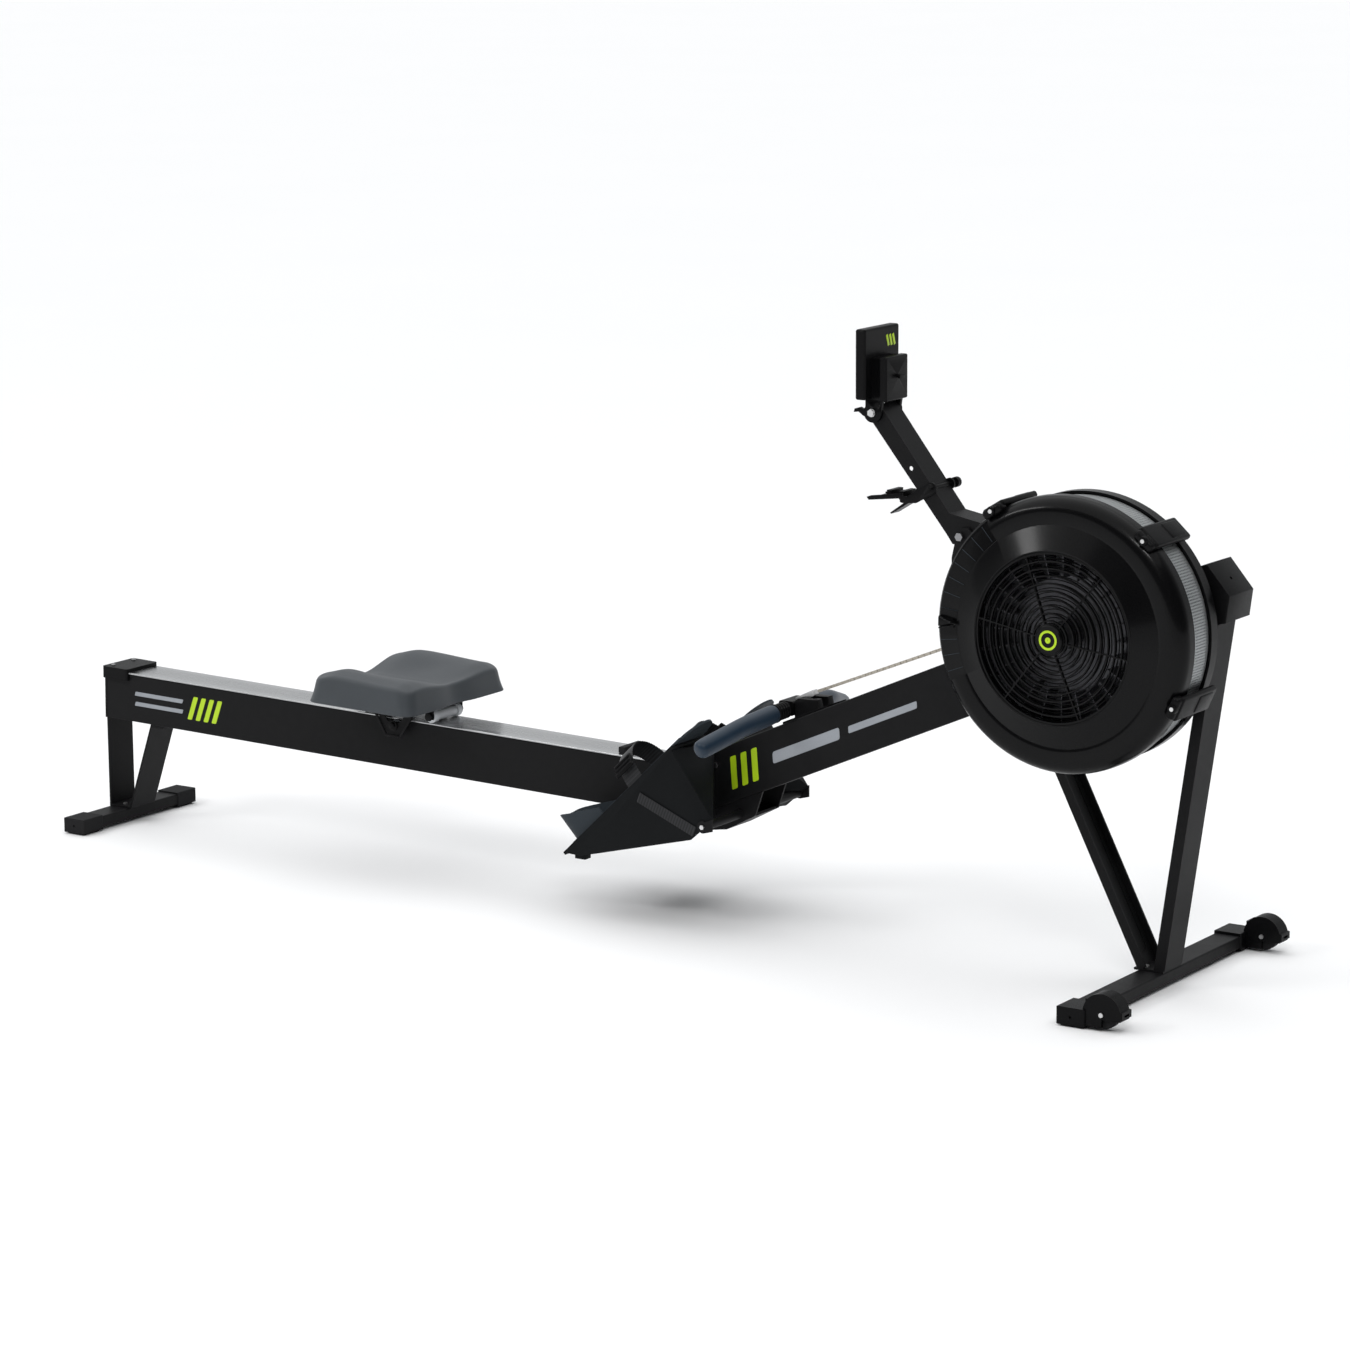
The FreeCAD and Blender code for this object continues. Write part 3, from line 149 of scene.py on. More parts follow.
# %% [markdown]
# ## Writing materials as sums
# A material is a graph of nodes, but most of what it says is arithmetic: take a pattern, scale it, add
# another. A small class wraps one socket so that Python's operators add the Math nodes. Colours and
# vectors keep to the Mix and Vector Math nodes, because a Math node would turn them grey.

# %% The socket wrapper and the paint pot
class Value:
    """One number flowing through a material; arithmetic on it adds Math nodes."""

    def __init__(self, pot, socket):
        self.pot = pot
        self.socket = socket

    def math(self, operation, first, second=0.0):
        return self.pot.node("ShaderNodeMath", {"operation": operation}, {0: first, 1: second})

    def __add__(self, other):
        return self.math("ADD", self, other)

    __radd__ = __add__

    def __mul__(self, other):
        return self.math("MULTIPLY", self, other)

    __rmul__ = __mul__

    def __sub__(self, other):
        return self.math("SUBTRACT", self, other)

    def __rsub__(self, other):
        return self.math("SUBTRACT", other, self)

    def __abs__(self):
        return self.math("ABSOLUTE", self)

    def wave(self):
        """A smooth wave between 0 and 1 as the value grows by a whole turn."""
        return self.math("SINE", self) * 0.5 + 0.5

    def between(self, start, end):
        """0 below start, 1 above end, smooth between."""
        return self.pot.node("ShaderNodeMapRange", {"interpolation_type": "SMOOTHSTEP"},
                             {0: self, 1: start, 2: end, 3: 0.0, 4: 1.0})


class Pot:
    """A material with one shader, and the nodes that vary it over a surface."""

    def __init__(self, name, **constants):
        self.material = bpy.data.materials.new(name)
        self.material.use_nodes = True
        self.tree = self.material.node_tree
        self.shader = self.tree.nodes["Principled BSDF"]
        for socket, value in constants.items():
            self.shader.inputs[socket.replace("_", " ")].default_value = value

    def node(self, kind, settings=None, inputs=None, out=0):
        """Any node: its type, its settings, then the values or links of its sockets."""
        made = self.tree.nodes.new(kind)
        for key, value in (settings or {}).items():
            setattr(made, key, value)
        for key, value in (inputs or {}).items():
            if isinstance(value, Value):
                self.tree.links.new(value.socket, made.inputs[key])
            else:
                made.inputs[key].default_value = value
        return Value(self, made.outputs[out])

    def place(self, scale=(1.0, 1.0, 1.0), uv=False):
        """Coordinates on the object, or on its own UV map, scaled."""
        start = self.node("ShaderNodeTexCoord", out="UV" if uv else "Object")
        return self.node("ShaderNodeMapping", {"vector_type": "POINT"}, {0: start, "Scale": scale})

    def axes(self, spot):
        """The three coordinates of a vector, each as a value."""
        split = self.tree.nodes.new("ShaderNodeSeparateXYZ")
        self.tree.links.new(spot.socket, split.inputs[0])
        return [Value(self, socket) for socket in split.outputs]

    def noise(self, spot, scale, detail=3.0, roughness=0.55):
        return self.node("ShaderNodeTexNoise", None,
                         {"Vector": spot, "Scale": scale, "Detail": detail, "Roughness": roughness})

    def cells(self, spot, scale):
        return self.node("ShaderNodeTexVoronoi", {"feature": "SMOOTH_F1"}, {"Vector": spot, "Scale": scale})

    def mix(self, amount, first, second):
        """Two colours mixed by an amount; a Mix node keeps its colours at sockets 6 and 7."""
        tones = {6: first if isinstance(first, Value) else (*first, 1.0),
                 7: second if isinstance(second, Value) else (*second, 1.0)}
        return self.node("ShaderNodeMix", {"data_type": "RGBA"}, {0: amount, **tones}, out=2)

    def feed(self, **sockets):
        """Link values to the shader's own sockets."""
        for name, value in sockets.items():
            self.tree.links.new(value.socket, self.shader.inputs[name.replace("_", " ")])
        return self

    def bump(self, height, depth, strength=1.0):
        return self.node("ShaderNodeBump", None, {"Height": height, "Distance": depth, "Strength": strength})


finishes = {}
print("shader sums ready")

# %% [markdown]
# ## Floor paper
# Studio paper is matt and almost white, with a barely visible unevenness.

# %% Floor paper
paper = Pot("studio_paper", Roughness=0.95, Specular_IOR_Level=0.1)
blotch = paper.noise(paper.place(), 0.8)
paper.feed(Base_Color=paper.mix(blotch, (0.93, 0.935, 0.94), (0.95, 0.95, 0.955)))
floor.data.materials.append(paper.material)
print("floor paper ready")

# %% [markdown]
# ## Powder coat
# The rail, beam and legs are sprayed with black powder and baked. Up close the film has an orange-peel
# ripple about a millimetre across, and its sheen drifts a little where hands and cloths have been. A
# fine noise drives the ripple, a broad one the sheen.

# %% Powder coat
def powder_coat(name, dark, light):
    pot = Pot(name, Specular_IOR_Level=0.09)
    spot = pot.place()
    sheen = pot.noise(spot, 5.0, 4.0)
    dust = pot.noise(spot, 60.0, 5.0)
    peel = pot.noise(spot, 900.0, 2.0)
    pot.feed(Base_Color=pot.mix(dust * 0.6 + sheen * 0.4, dark, light),
             Roughness=sheen * 0.16 + dust * 0.08 + 0.34,
             Normal=pot.bump(peel, 0.00022, 0.7))
    return pot.material


finishes["black_paint"] = powder_coat("black_powder_coat", (0.0062, 0.0062, 0.0066), (0.0115, 0.0115, 0.0122))
print("powder coat ready")

# %% [markdown]
# ## Moulded plastics
# Moulds for plastic are spark-eroded, so the parts come out with a grain of tiny rounded pits. The fan
# cover is the same black but polished, with a wipe-marked gloss; foot caps are softer and duller.

# %% Moulded plastics
def moulded(name, dark, light, rough, grain, depth, gloss=0.0):
    pot = Pot(name, Coat_Weight=gloss, Coat_Roughness=0.12, Specular_IOR_Level=0.055)
    spot = pot.place()
    drift = pot.noise(spot, 9.0, 4.0)
    speck = pot.noise(spot, 240.0, 3.0)
    pits = pot.cells(spot, grain)
    pot.feed(Base_Color=pot.mix(drift * 0.5 + speck * 0.5, dark, light),
             Roughness=drift * 0.14 + pits * 0.10 + (rough - 0.1),
             Normal=pot.bump(pits, depth, 0.6))
    return pot.material


finishes["black_plastic"] = moulded("black_moulding", (0.0024, 0.0024, 0.0026), (0.0056, 0.0056, 0.0062),
                                    0.40, 1400.0, 0.00025, 0.07)
finishes["cover_plastic"] = moulded("cover_moulding", (0.0018, 0.0018, 0.002), (0.0040, 0.0040, 0.0044),
                                    0.27, 1700.0, 0.00008, 0.14)
finishes["slate_plastic"] = moulded("slate_moulding", (0.030, 0.037, 0.044), (0.042, 0.050, 0.058),
                                    0.50, 1300.0, 0.0002)
finishes["roller_plastic"] = moulded("white_roller", (0.62, 0.64, 0.67), (0.76, 0.78, 0.80),
                                     0.34, 900.0, 0.0001, 0.3)
finishes["rubber"] = moulded("foot_rubber", (0.013, 0.013, 0.014), (0.024, 0.024, 0.025),
                             0.62, 800.0, 0.0003)
finishes["footrest_plastic"] = moulded("footrest_moulding", (0.0060, 0.0066, 0.0072),
                                       (0.0110, 0.0120, 0.0130), 0.44, 1200.0, 0.0003)
print("plastics:", [n for n in finishes])

# %% [markdown]
# ## Brushed track
# The seat rolls on a stainless strip brushed along its length. Stretching a noise far along X makes the
# brush lines; the rollers have polished two lanes near the edges, which are smoother and brighter.

# %% Steel finishes
def brushed_track():
    pot = Pot("brushed_track", Metallic=1.0)
    spot = pot.place()
    lines = pot.noise(pot.place(scale=(5.0, 900.0, 900.0)), 1.0, 3.0)
    cloud = pot.noise(spot, 14.0, 3.0)
    side = abs(pot.axes(spot)[1])
    lane = side.between(0.020, 0.030) * (1.0 - side.between(0.037, 0.041))
    tone = lines * 0.35 + cloud * 0.25 + lane * 0.4
    pot.feed(Base_Color=pot.mix(tone, (0.38, 0.385, 0.39), (0.56, 0.565, 0.57)),
             Roughness=lines * 0.14 + cloud * 0.06 + 0.18 - lane * 0.06,
             Normal=pot.bump(lines, 0.00004, 0.5))
    return pot.material


def plated(name, dark, light, rough, grain, spots=40.0):
    """Plated or pressed metal with cloudy reflections and fine tool marks."""
    pot = Pot(name, Metallic=1.0)
    spot = pot.place()
    cloud = pot.noise(spot, spots, 4.0)
    marks = pot.noise(spot, grain, 2.0)
    pot.feed(Base_Color=pot.mix(cloud, dark, light),
             Roughness=cloud * 0.16 + marks * 0.08 + (rough - 0.08),
             Normal=pot.bump(marks, 0.00008, 0.6))
    return pot.material


finishes["track_steel"] = brushed_track()
finishes["bright_steel"] = plated("zinc_plate", (0.52, 0.52, 0.53), (0.78, 0.78, 0.77), 0.30, 1500.0, 180.0)
finishes["dark_steel"] = plated("machined_steel", (0.24, 0.24, 0.25), (0.36, 0.36, 0.37), 0.36, 1200.0)
finishes["fan_alloy"] = plated("pressed_alloy", (0.10, 0.10, 0.11), (0.17, 0.17, 0.18), 0.45, 700.0)
finishes["band_steel"] = plated("grey_perforated_steel", (0.34, 0.355, 0.36), (0.46, 0.475, 0.48),
                                0.52, 800.0)
finishes["chain_nickel"] = plated("oiled_nickel", (0.24, 0.20, 0.15), (0.66, 0.63, 0.57), 0.34, 900.0, 260.0)
print("steel finishes ready")

# %% [markdown]
# ## Seat skin, grips and sheath
# The seat is urethane foam moulded with its own skin: matt, slightly leathery, greyer where it has been
# sat on. The grips are a soft navy rubber, smooth with a satin sheen. The recoil cord has a braid.

# %% Seat skin, grips and sheath
def skin(name, dark, light, rough, crease, depth):
    pot = Pot(name, Specular_IOR_Level=0.35, Sheen_Weight=0.08, Sheen_Roughness=0.5)
    spot = pot.place()
    drift = pot.noise(spot, 16.0, 4.0)
    leather = pot.cells(spot, crease)
    fine = pot.noise(spot, crease * 4.0, 2.0)
    pot.feed(Base_Color=pot.mix(drift * 0.7 + fine * 0.3, dark, light),
             Roughness=drift * 0.12 + fine * 0.08 + (rough - 0.1),
             Normal=pot.bump(leather * 0.7 + fine * 0.3, depth, 0.6))
    return pot.material


def braid():
    pot = Pot("braided_sheath", Roughness=0.8)
    spot = pot.place()
    along, _, up = pot.axes(spot)
    strands = ((along + up) * 1900.0).wave() * ((along - up) * 1900.0).wave()
    pot.feed(Base_Color=pot.mix(strands, (0.012, 0.012, 0.013), (0.06, 0.06, 0.062)),
             Normal=pot.bump(strands, 0.0006))
    return pot.material


finishes["seat_foam"] = skin("seat_skin", (0.036, 0.042, 0.048), (0.050, 0.058, 0.066), 0.56, 650.0, 0.0003)
finishes["grip_rubber"] = skin("navy_rubber", (0.0030, 0.014, 0.030), (0.0055, 0.022, 0.044),
                               0.42, 1200.0, 0.00012)
finishes["cord_rubber"] = braid()
print("soft finishes ready")

# %% [markdown]
# ## Webbing
# A foot strap is woven nylon: fat weft ribs lie across the strap every five or six millimetres and fine warp
# threads run along it. The ribs are real shape, and the colour also has painted shade in the grooves between
# them and a painted highlight on their crests. This painted shade and the threads follow the strap round its
# bends, so they read the strap's own UV map, whose first coordinate is its length in metres.

# %% Webbing
RIB = 0.0056


def webbing():
    pot = Pot("black_webbing", Specular_IOR_Level=0.3, Sheen_Weight=0.2, Sheen_Roughness=0.4)
    spot = pot.place(uv=True)
    run, across, _ = pot.axes(spot)
    # Painted shade and highlight: this wave darkens the grooves between the ribs and lightens their crests,
    # at the pitch of the rib shape.
    ribs = (run * (2 * math.pi / RIB)).wave()
    warp = (across * 5200.0).wave()
    fuzz = pot.noise(spot, 700.0, 3.0)
    # The mix's dark end is the painted shade of the grooves and its light end the painted highlight of the
    # crests, with the real tone of the warp threads and fuzz added.
    weave_and_rib_shade = ribs * 0.7 + warp * 0.2 + fuzz * 0.1
    pot.feed(Base_Color=pot.mix(weave_and_rib_shade, (0.0015, 0.0015, 0.0018), (0.030, 0.031, 0.034)),
             Roughness=weave_and_rib_shade * 0.2 + 0.6,
             Normal=pot.bump(warp * 0.6 + fuzz * 0.4, 0.00012, 0.8))
    return pot.material


finishes["webbing"] = webbing()
print("webbing ribs every", RIB * 1000, "mm")

# %% [markdown]
# ## Display window and stripes
# The monitor's window is a grey liquid-crystal panel under clear plastic. The coloured stripes that
# stand in for decoration are printed film: almost flat, with a fine screen-printed mottle.

# %% Display window and stripes
def display():
    pot = Pot("display_window", Roughness=0.12, Coat_Weight=1.0, Coat_Roughness=0.03)
    spot = pot.place()
    _, across, up = pot.axes(spot)
    dots = ((across * 7000.0).wave() * (up * 7000.0).wave()) * 0.3 + pot.noise(spot, 30.0) * 0.7
    pot.feed(Base_Color=pot.mix(dots, (0.16, 0.19, 0.16), (0.24, 0.28, 0.24)))
    return pot.material


def film(name, dark, light):
    pot = Pot(name, Specular_IOR_Level=0.4)
    spot = pot.place()
    mottle = pot.noise(spot, 500.0, 3.0)
    drift = pot.noise(spot, 12.0, 3.0)
    pot.feed(Base_Color=pot.mix(mottle * 0.5 + drift * 0.5, dark, light), Roughness=mottle * 0.15 + 0.32)
    return pot.material


finishes["screen_glass"] = display()
finishes["lime_film"] = film("lime_film", (0.40, 0.62, 0.008), (0.52, 0.74, 0.014))
finishes["silver_film"] = film("silver_film", (0.24, 0.26, 0.29), (0.36, 0.38, 0.41))
print(len(finishes), "finishes")

# %% [markdown]
# ## Dress the CAD nodes
# The record names a finish slot for every CAD part. Most parts simply take the material of their slot;
# the two footrest shells get their own slightly greyer moulding.

# %% Give every CAD node the finish of its slot
slot_of = {part["node"]: part["material_slot"] for part in frame["record"]["subparts"]}
OWN_FINISH = {"footrest_shell_left": "footrest_plastic", "footrest_shell_right": "footrest_plastic"}
for name, node in frame["nodes"].items():
    node.data.materials.clear()
    node.data.materials.append(finishes[OWN_FINISH.get(name, slot_of[name])])
print("dressed", len(frame["nodes"]), "CAD nodes")

# %% [markdown]
# ## Turning a bmesh into a piece
# Every new piece goes the same way: merge what touches, point the faces outwards, mark the sharp edges
# by angle, and hang the object on the body it moves with. The object stays at the origin; its place is
# in its mesh, just as it is for the CAD nodes.

# %% The finishing helper
SHARP = math.radians(32.0)
TOUCHING = 1e-6


def piece(mesh, name, body, finish, replaces=(), sharp=SHARP):
    """Make an object of a bmesh, give it a finish and let it ride on a body."""
    bmesh.ops.remove_doubles(mesh, verts=mesh.verts, dist=TOUCHING)
    bmesh.ops.recalc_face_normals(mesh, faces=mesh.faces)
    data = bpy.data.meshes.new(name)
    mesh.to_mesh(data)
    mesh.free()
    data.shade_smooth()
    data.set_sharp_from_angle(angle=sharp)
    made = bpy.data.objects.new(name, data)
    bpy.context.scene.collection.objects.link(made)
    data.materials.append(finishes[finish])
    if body:
        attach(made, body)
    if replaces:
        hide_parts(*replaces)
    return made


print("edges sharper than", round(math.degrees(SHARP)), "degrees stay crisp")

# %% [markdown]
# ## Turned parts
# The fan's cover is round about the axle, like something made on a lathe. Drawing half of its section
# as a few points and spinning it gives an exact round with as many steps as the light needs. A whole
# turn is merged at its seam; a part turn has its two ends filled.

# %% A lathe about the fan's axle
FAN = Vector((0.980, 0.0, 0.617))


def lathe(sections, steps=144):
    """Spin closed sections of (radius, y) in millimetres about the fan's axle.

    Each section is (points, start, sweep) with angles in degrees, anticlockwise seen from -Y."""
    mesh = bmesh.new()
    for points, start, sweep in sections:
        corners = [mesh.verts.new(FAN + Vector((r / 1000, y / 1000, 0.0))) for r, y in points]
        edges = [mesh.edges.new((a, b)) for a, b in zip(corners, corners[1:] + corners[:1])]
        bmesh.ops.rotate(mesh, verts=corners, cent=FAN, matrix=Matrix.Rotation(-math.radians(start), 3, "Y"))
        whole = sweep >= 360.0
        before = set(mesh.edges) - set(edges)
        bmesh.ops.spin(mesh, geom=corners + edges, cent=FAN, axis=(0, 1, 0), dvec=(0, 0, 0),
                       angle=-math.radians(sweep), steps=max(2, round(steps * sweep / 360)),
                       use_merge=whole, use_duplicate=False)
        if not whole:
            rims = [edge for edge in mesh.edges if edge not in before and edge.is_boundary]
            bmesh.ops.holes_fill(mesh, edges=rims, sides=0)
    return mesh


def arc(cr, cy, radius, start, end, count):
    """Points of a rounded corner of a section, as (radius, y) pairs."""
    turns = [math.radians(start + (end - start) * k / (count - 1)) for k in range(count)]
    return [(cr + radius * math.cos(t), cy + radius * math.sin(t)) for t in turns]


print("the fan's axle is at", tuple(FAN))

# %% [markdown]
# ## The near cover and its damper window
# The cover is a cone that rises to the grille and rolls over at the rim. On the rower's side it is
# recessed, and the damper lever slides along a scale in the recess. Two sections make it: one for
# the plain part, one for the recessed part, each spun over its own share of the turn.

# %% Near cover
RIM, RIM_Y, COVER = 26.0, -166.0, 232.0
WINDOW = (127.0, 205.0)

plain = [(144, -207), (146, -207.6), (186, -190.6), (188.5, -191.6), (192, -192)]
plain += arc(COVER - RIM, RIM_Y, RIM, -90, 0, 12) + [(COVER, -151), (COVER - 0.8, -150)]
plain += [(COVER - 4, -150)] + arc(COVER - RIM, RIM_Y, RIM - 4, 0, -90, 8)
plain += [(191, -188), (187, -186), (144, -203)]
recess = [(144, -207), (146, -207.6), (186, -190.6), (188.5, -190.6), (190.5, -183.5), (193, -182.4)]
recess += [(222, -182.4), (227, -181.0), (230.5, -177.5), (COVER, -172), (COVER, -150), (COVER - 4, -150)]
recess += [(COVER - 4, -172), (222, -178.5), (191, -178.8), (187, -186), (144, -203)]
whole_cover = lathe([(plain, WINDOW[1], 360 - WINDOW[1] + WINDOW[0]),
                     (recess, WINDOW[0], WINDOW[1] - WINDOW[0])], steps=180)
cover = piece(whole_cover, "near_cover_shell", "frame", "cover_plastic", replaces=["near_cover"],
              sharp=math.radians(24))
print("cover faces:", len(cover.data.polygons))

# %% [markdown]
# The scale in the recess is a row of shallow ribs like the marks of a dial, one for each step of the
# lever. Each is a thin bar made from a box, with its edges rounded, and turned to its place round the
# axle. Rounding edges and setting a part down are wanted again and again, so each is a helper.

# %% Rounding and placing
def round_edges(mesh, edges, offset, segments, clamp=True):
    bmesh.ops.bevel(mesh, geom=edges, offset=offset, offset_type="OFFSET", segments=segments, profile=0.5,
                    affect="EDGES", material=-1, clamp_overlap=clamp)


def set_down(mesh, turn, place):
    """Turn a whole bmesh about the origin, then move it to its place."""
    bmesh.ops.rotate(mesh, verts=mesh.verts, cent=(0, 0, 0), matrix=turn)
    bmesh.ops.translate(mesh, verts=mesh.verts, vec=place)
    return mesh


def soft_box(centre, size, turn=Matrix.Identity(3), round_off=None, segments=2):
    """A separate bmesh box with rounded edges, placed and turned."""
    mesh = bmesh.new()
    bmesh.ops.create_cube(mesh, size=1.0)
    bmesh.ops.scale(mesh, vec=size, verts=mesh.verts)
    offset = min(size) * 0.2 if round_off is None else round_off
    round_edges(mesh, mesh.edges[:], offset, segments)
    return set_down(mesh, turn, centre)


def gather(meshes):
    """Join several bmeshes into one."""
    whole = bmesh.new()
    for part in meshes:
        data = bpy.data.meshes.new("part")
        part.to_mesh(data)
        part.free()
        whole.from_mesh(data)
        bpy.data.meshes.remove(data)
    return whole


def about_fan(mesh, angle):
    """Turn a bmesh about the fan's axle."""
    turn = Matrix.Rotation(-math.radians(angle), 3, "Y")
    bmesh.ops.rotate(mesh, verts=mesh.verts, cent=FAN, matrix=turn)
    return mesh


print("rounding and placing ready")

# %% Damper scale
SCALE_RIBS, SCALE_STEP = 11, 7.0

ribs = []
for step in range(SCALE_RIBS):
    angle = WINDOW[0] + 4 + step * SCALE_STEP
    ribs.append(about_fan(soft_box(FAN + Vector((0.2085, -0.1826, 0)), (0.031, 0.0012, 0.0010)), angle))
scale = piece(gather(ribs), "damper_scale", "frame", "slate_plastic")
print("damper scale:", len(ribs), "ribs")

# %% [markdown]
# ## Grille
# The CAD grille has its rings and spokes already. A second guard of finer wires behind it keeps fingers
# off the blades; its wires are spun from small square sections. A bead closes the joint between the
# grille and the cone, and the hub cap gets a plain coloured ring and dot.

# %% Second guard and hub ring
GUARD_FROM, GUARD_TO, GUARD_PITCH = 34, 140, 7
HUB_FACE, HUB_PROUD = -221.0, -221.35


def ring_section(inner, outer, back, front):
    """The square section of a ring about the axle, as one whole turn for the lathe."""
    return [(inner, back), (outer, back), (outer, front), (inner, front)], 0.0, 360.0


guard = [ring_section(r - 0.8, r + 0.8, -196, -194.4) for r in range(GUARD_FROM, GUARD_TO, GUARD_PITCH)]
piece(lathe(guard, steps=96), "inner_guard", "frame", "black_plastic")
badge = [ring_section(12.5, 16.5, HUB_FACE, HUB_PROUD), ring_section(0.5, 5.0, HUB_FACE, HUB_PROUD)]
piece(lathe(badge, steps=96), "hub_ring", "frame", "lime_film")
piece(lathe([([(143.2, -207.2), (144.2, -208.4), (145.6, -208.4), (146.4, -207.2)], 0.0, 360.0)], steps=180),
      "grille_bead", "frame", "cover_plastic")
print("guard rings:", len(guard))

# %% [markdown]
# ## Perforated band
# Air leaves the fan through a grey steel band full of small holes. The band is made flat: a grid of
# squares, each inset, and the inner squares deleted to leave holes. Then it is rolled round the cage,
# one column of squares per step, and given its thickness last.

# %% Vent band
BAND_R, BAND_FROM, BAND_TO = 0.2220, -0.150, -0.084
ACROSS, AROUND = 13, 276
HOLE_EDGE, BAND_T = 0.00115, 0.0012

mesh = bmesh.new()
bmesh.ops.create_grid(mesh, x_segments=AROUND, y_segments=ACROSS, size=0.5)
margin = [f for f in mesh.faces if abs(f.calc_center_median().y) < 0.5 - 1.0 / ACROSS]
bmesh.ops.scale(mesh, vec=(2 * math.pi * BAND_R, BAND_TO - BAND_FROM, 1.0), verts=mesh.verts)
bmesh.ops.inset_individual(mesh, faces=margin, thickness=HOLE_EDGE, use_even_offset=True)
bmesh.ops.delete(mesh, geom=margin, context="FACES_ONLY")
for vert in mesh.verts:
    turn = vert.co.x / BAND_R
    middle = vert.co.y + (BAND_FROM + BAND_TO) / 2
    vert.co = FAN + Vector((BAND_R * math.cos(turn), middle, BAND_R * math.sin(turn)))
bmesh.ops.remove_doubles(mesh, verts=mesh.verts, dist=2e-5)
bmesh.ops.recalc_face_normals(mesh, faces=mesh.faces)
bmesh.ops.solidify(mesh, geom=mesh.faces[:], thickness=BAND_T)
band = piece(mesh, "perforated_band", "frame", "band_steel", replaces=["vent_band"])
print("band holes:", len(margin), "faces:", len(band.data.polygons))

# %% [markdown]
# ## Roller chain
# The chain is made of pairs of side plates joined by rollers, with a pitch of a quarter of an inch.
# One link is built from two eight-sided rings pushed out into plates, and copied along the chain's
# line. The stretch between the guide and the handle is a separate piece that rides on no body; the
# rest stays with the frame.

# %% Chain line
GUIDE = Vector((0.735, 0.0, 0.565))
CHAIN_START = Vector((0.398, 0.0, 0.4286))
PITCH = 0.00635
PITCH_R = 0.0234
BEAM_SLOPE = math.radians(23.7)
BEAM_REAR = Vector((0.100, 0.0, 0.2074))


def on_beam(u, w, y=0.0):
    """A point u along the beam and w off its centre line, in metres."""
    c, s = math.cos(BEAM_SLOPE), math.sin(BEAM_SLOPE)
    return BEAM_REAR + Vector((u * c - w * s, y, u * s + w * c))


reach = FAN - GUIDE
lift = math.atan2(reach.z, reach.x) + math.asin(PITCH_R / reach.length)
over = [FAN + PITCH_R * Vector((-math.sin(a), 0, math.cos(a)))
        for a in (lift - math.radians(k * 15.0) for k in range(13))]
under = FAN + PITCH_R * Vector((math.sin(BEAM_SLOPE), 0, -math.cos(BEAM_SLOPE)))
tail_w = (under - BEAM_REAR).dot(Vector((-math.sin(BEAM_SLOPE), 0, math.cos(BEAM_SLOPE))))
inner_line = [GUIDE] + over + [under, on_beam(0.340, tail_w)]
runs = [(b - a).length for a, b in zip(inner_line, inner_line[1:])]
print("chain behind the guide:", round(sum(runs), 3), "m")

# %% Chain links
PLATE_T, PLATE_H, GAP_Y = 0.0008, 0.0058, 0.0040
PIN_R = 0.0017


def points_of(geometry):
    """The new vertices among what an operator returns."""
    return [made for made in geometry if isinstance(made, bmesh.types.BMVert)]


def link(start, end, wide):
    """One link from pin to pin: two waisted plates, and the roller at its start."""
    run = end - start
    slope = math.atan2(run.z, run.x)
    mesh = bmesh.new()
    gap = GAP_Y / 2 + (PLATE_T * 0.5 if wide else -PLATE_T * 0.5)
    for side in (-1, 1):
        ring = bmesh.ops.create_circle(mesh, cap_ends=True, segments=8, radius=PLATE_H / 2)["verts"]
        bmesh.ops.rotate(mesh, verts=ring, cent=(0, 0, 0),
                         matrix=Matrix.Rotation(math.pi / 2, 3, "X") @ Matrix.Rotation(math.pi / 8, 3, "Z"))
        for vert in ring:
            vert.co.x += PITCH if vert.co.x > 0 else 0.0
            vert.co.y += side * gap
        plate = [face for face in mesh.faces if ring[0] in face.verts]
        thick = bmesh.ops.extrude_face_region(mesh, geom=plate, use_keep_orig=True)["geom"]
        bmesh.ops.translate(mesh, vec=(0, side * PLATE_T, 0), verts=points_of(thick))
    roller = bmesh.ops.create_cone(mesh, cap_ends=True, segments=8, radius1=PIN_R, radius2=PIN_R,
                                   depth=GAP_Y + PLATE_T * 4.4)["verts"]
    bmesh.ops.rotate(mesh, verts=roller, cent=(0, 0, 0), matrix=Matrix.Rotation(math.pi / 2, 3, "X"))
    return set_down(mesh, Matrix.Rotation(-slope, 3, "Y"), start)


def chain_along(points):
    """Links laid pin to pin along a line of points, and how many pins they have."""
    spots = [points[0].copy()]
    spare = 0.0
    for a, b in zip(points, points[1:]):
        run = (b - a).length
        step = PITCH - spare
        while step <= run:
            spots.append(a.lerp(b, step / run))
            step += PITCH
        spare = run - (step - PITCH)
    return gather([link(a, b, k % 2 == 0) for k, (a, b) in enumerate(zip(spots, spots[1:]))]), len(spots)


links, count = chain_along(inner_line)
piece(links, "drive_chain", "frame", "chain_nickel", replaces=["chain"], sharp=math.radians(40))
links, front_count = chain_along([GUIDE, CHAIN_START + Vector((0.002, 0, 0.0008))])
front_chain = piece(links, "handle_chain", None, "chain_nickel", sharp=math.radians(40))
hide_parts("chain")
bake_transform(front_chain)
print("links:", count, "+", front_count)

# %% [markdown]
# ## The moulded seat
# The pad is urethane foam with a skin, cast in one mould: two high ridges carry the thighs, a valley
# runs between them so that the tailbone never touches, and the sides flare down to a broad base. A
# mould gives this shape, not sewing, so it is modelled rather than simulated: a grid is pressed to a
# rounded outline, its middle is lifted by a few smooth hills, and its rim is extruded down in steps.

# %% Rail frame and smooth hills
RAIL_REAR = Vector((-1.207, 0.0, 0.3046))
RAIL_SLOPE = math.radians(-1.3)
SEAT_U = 0.711


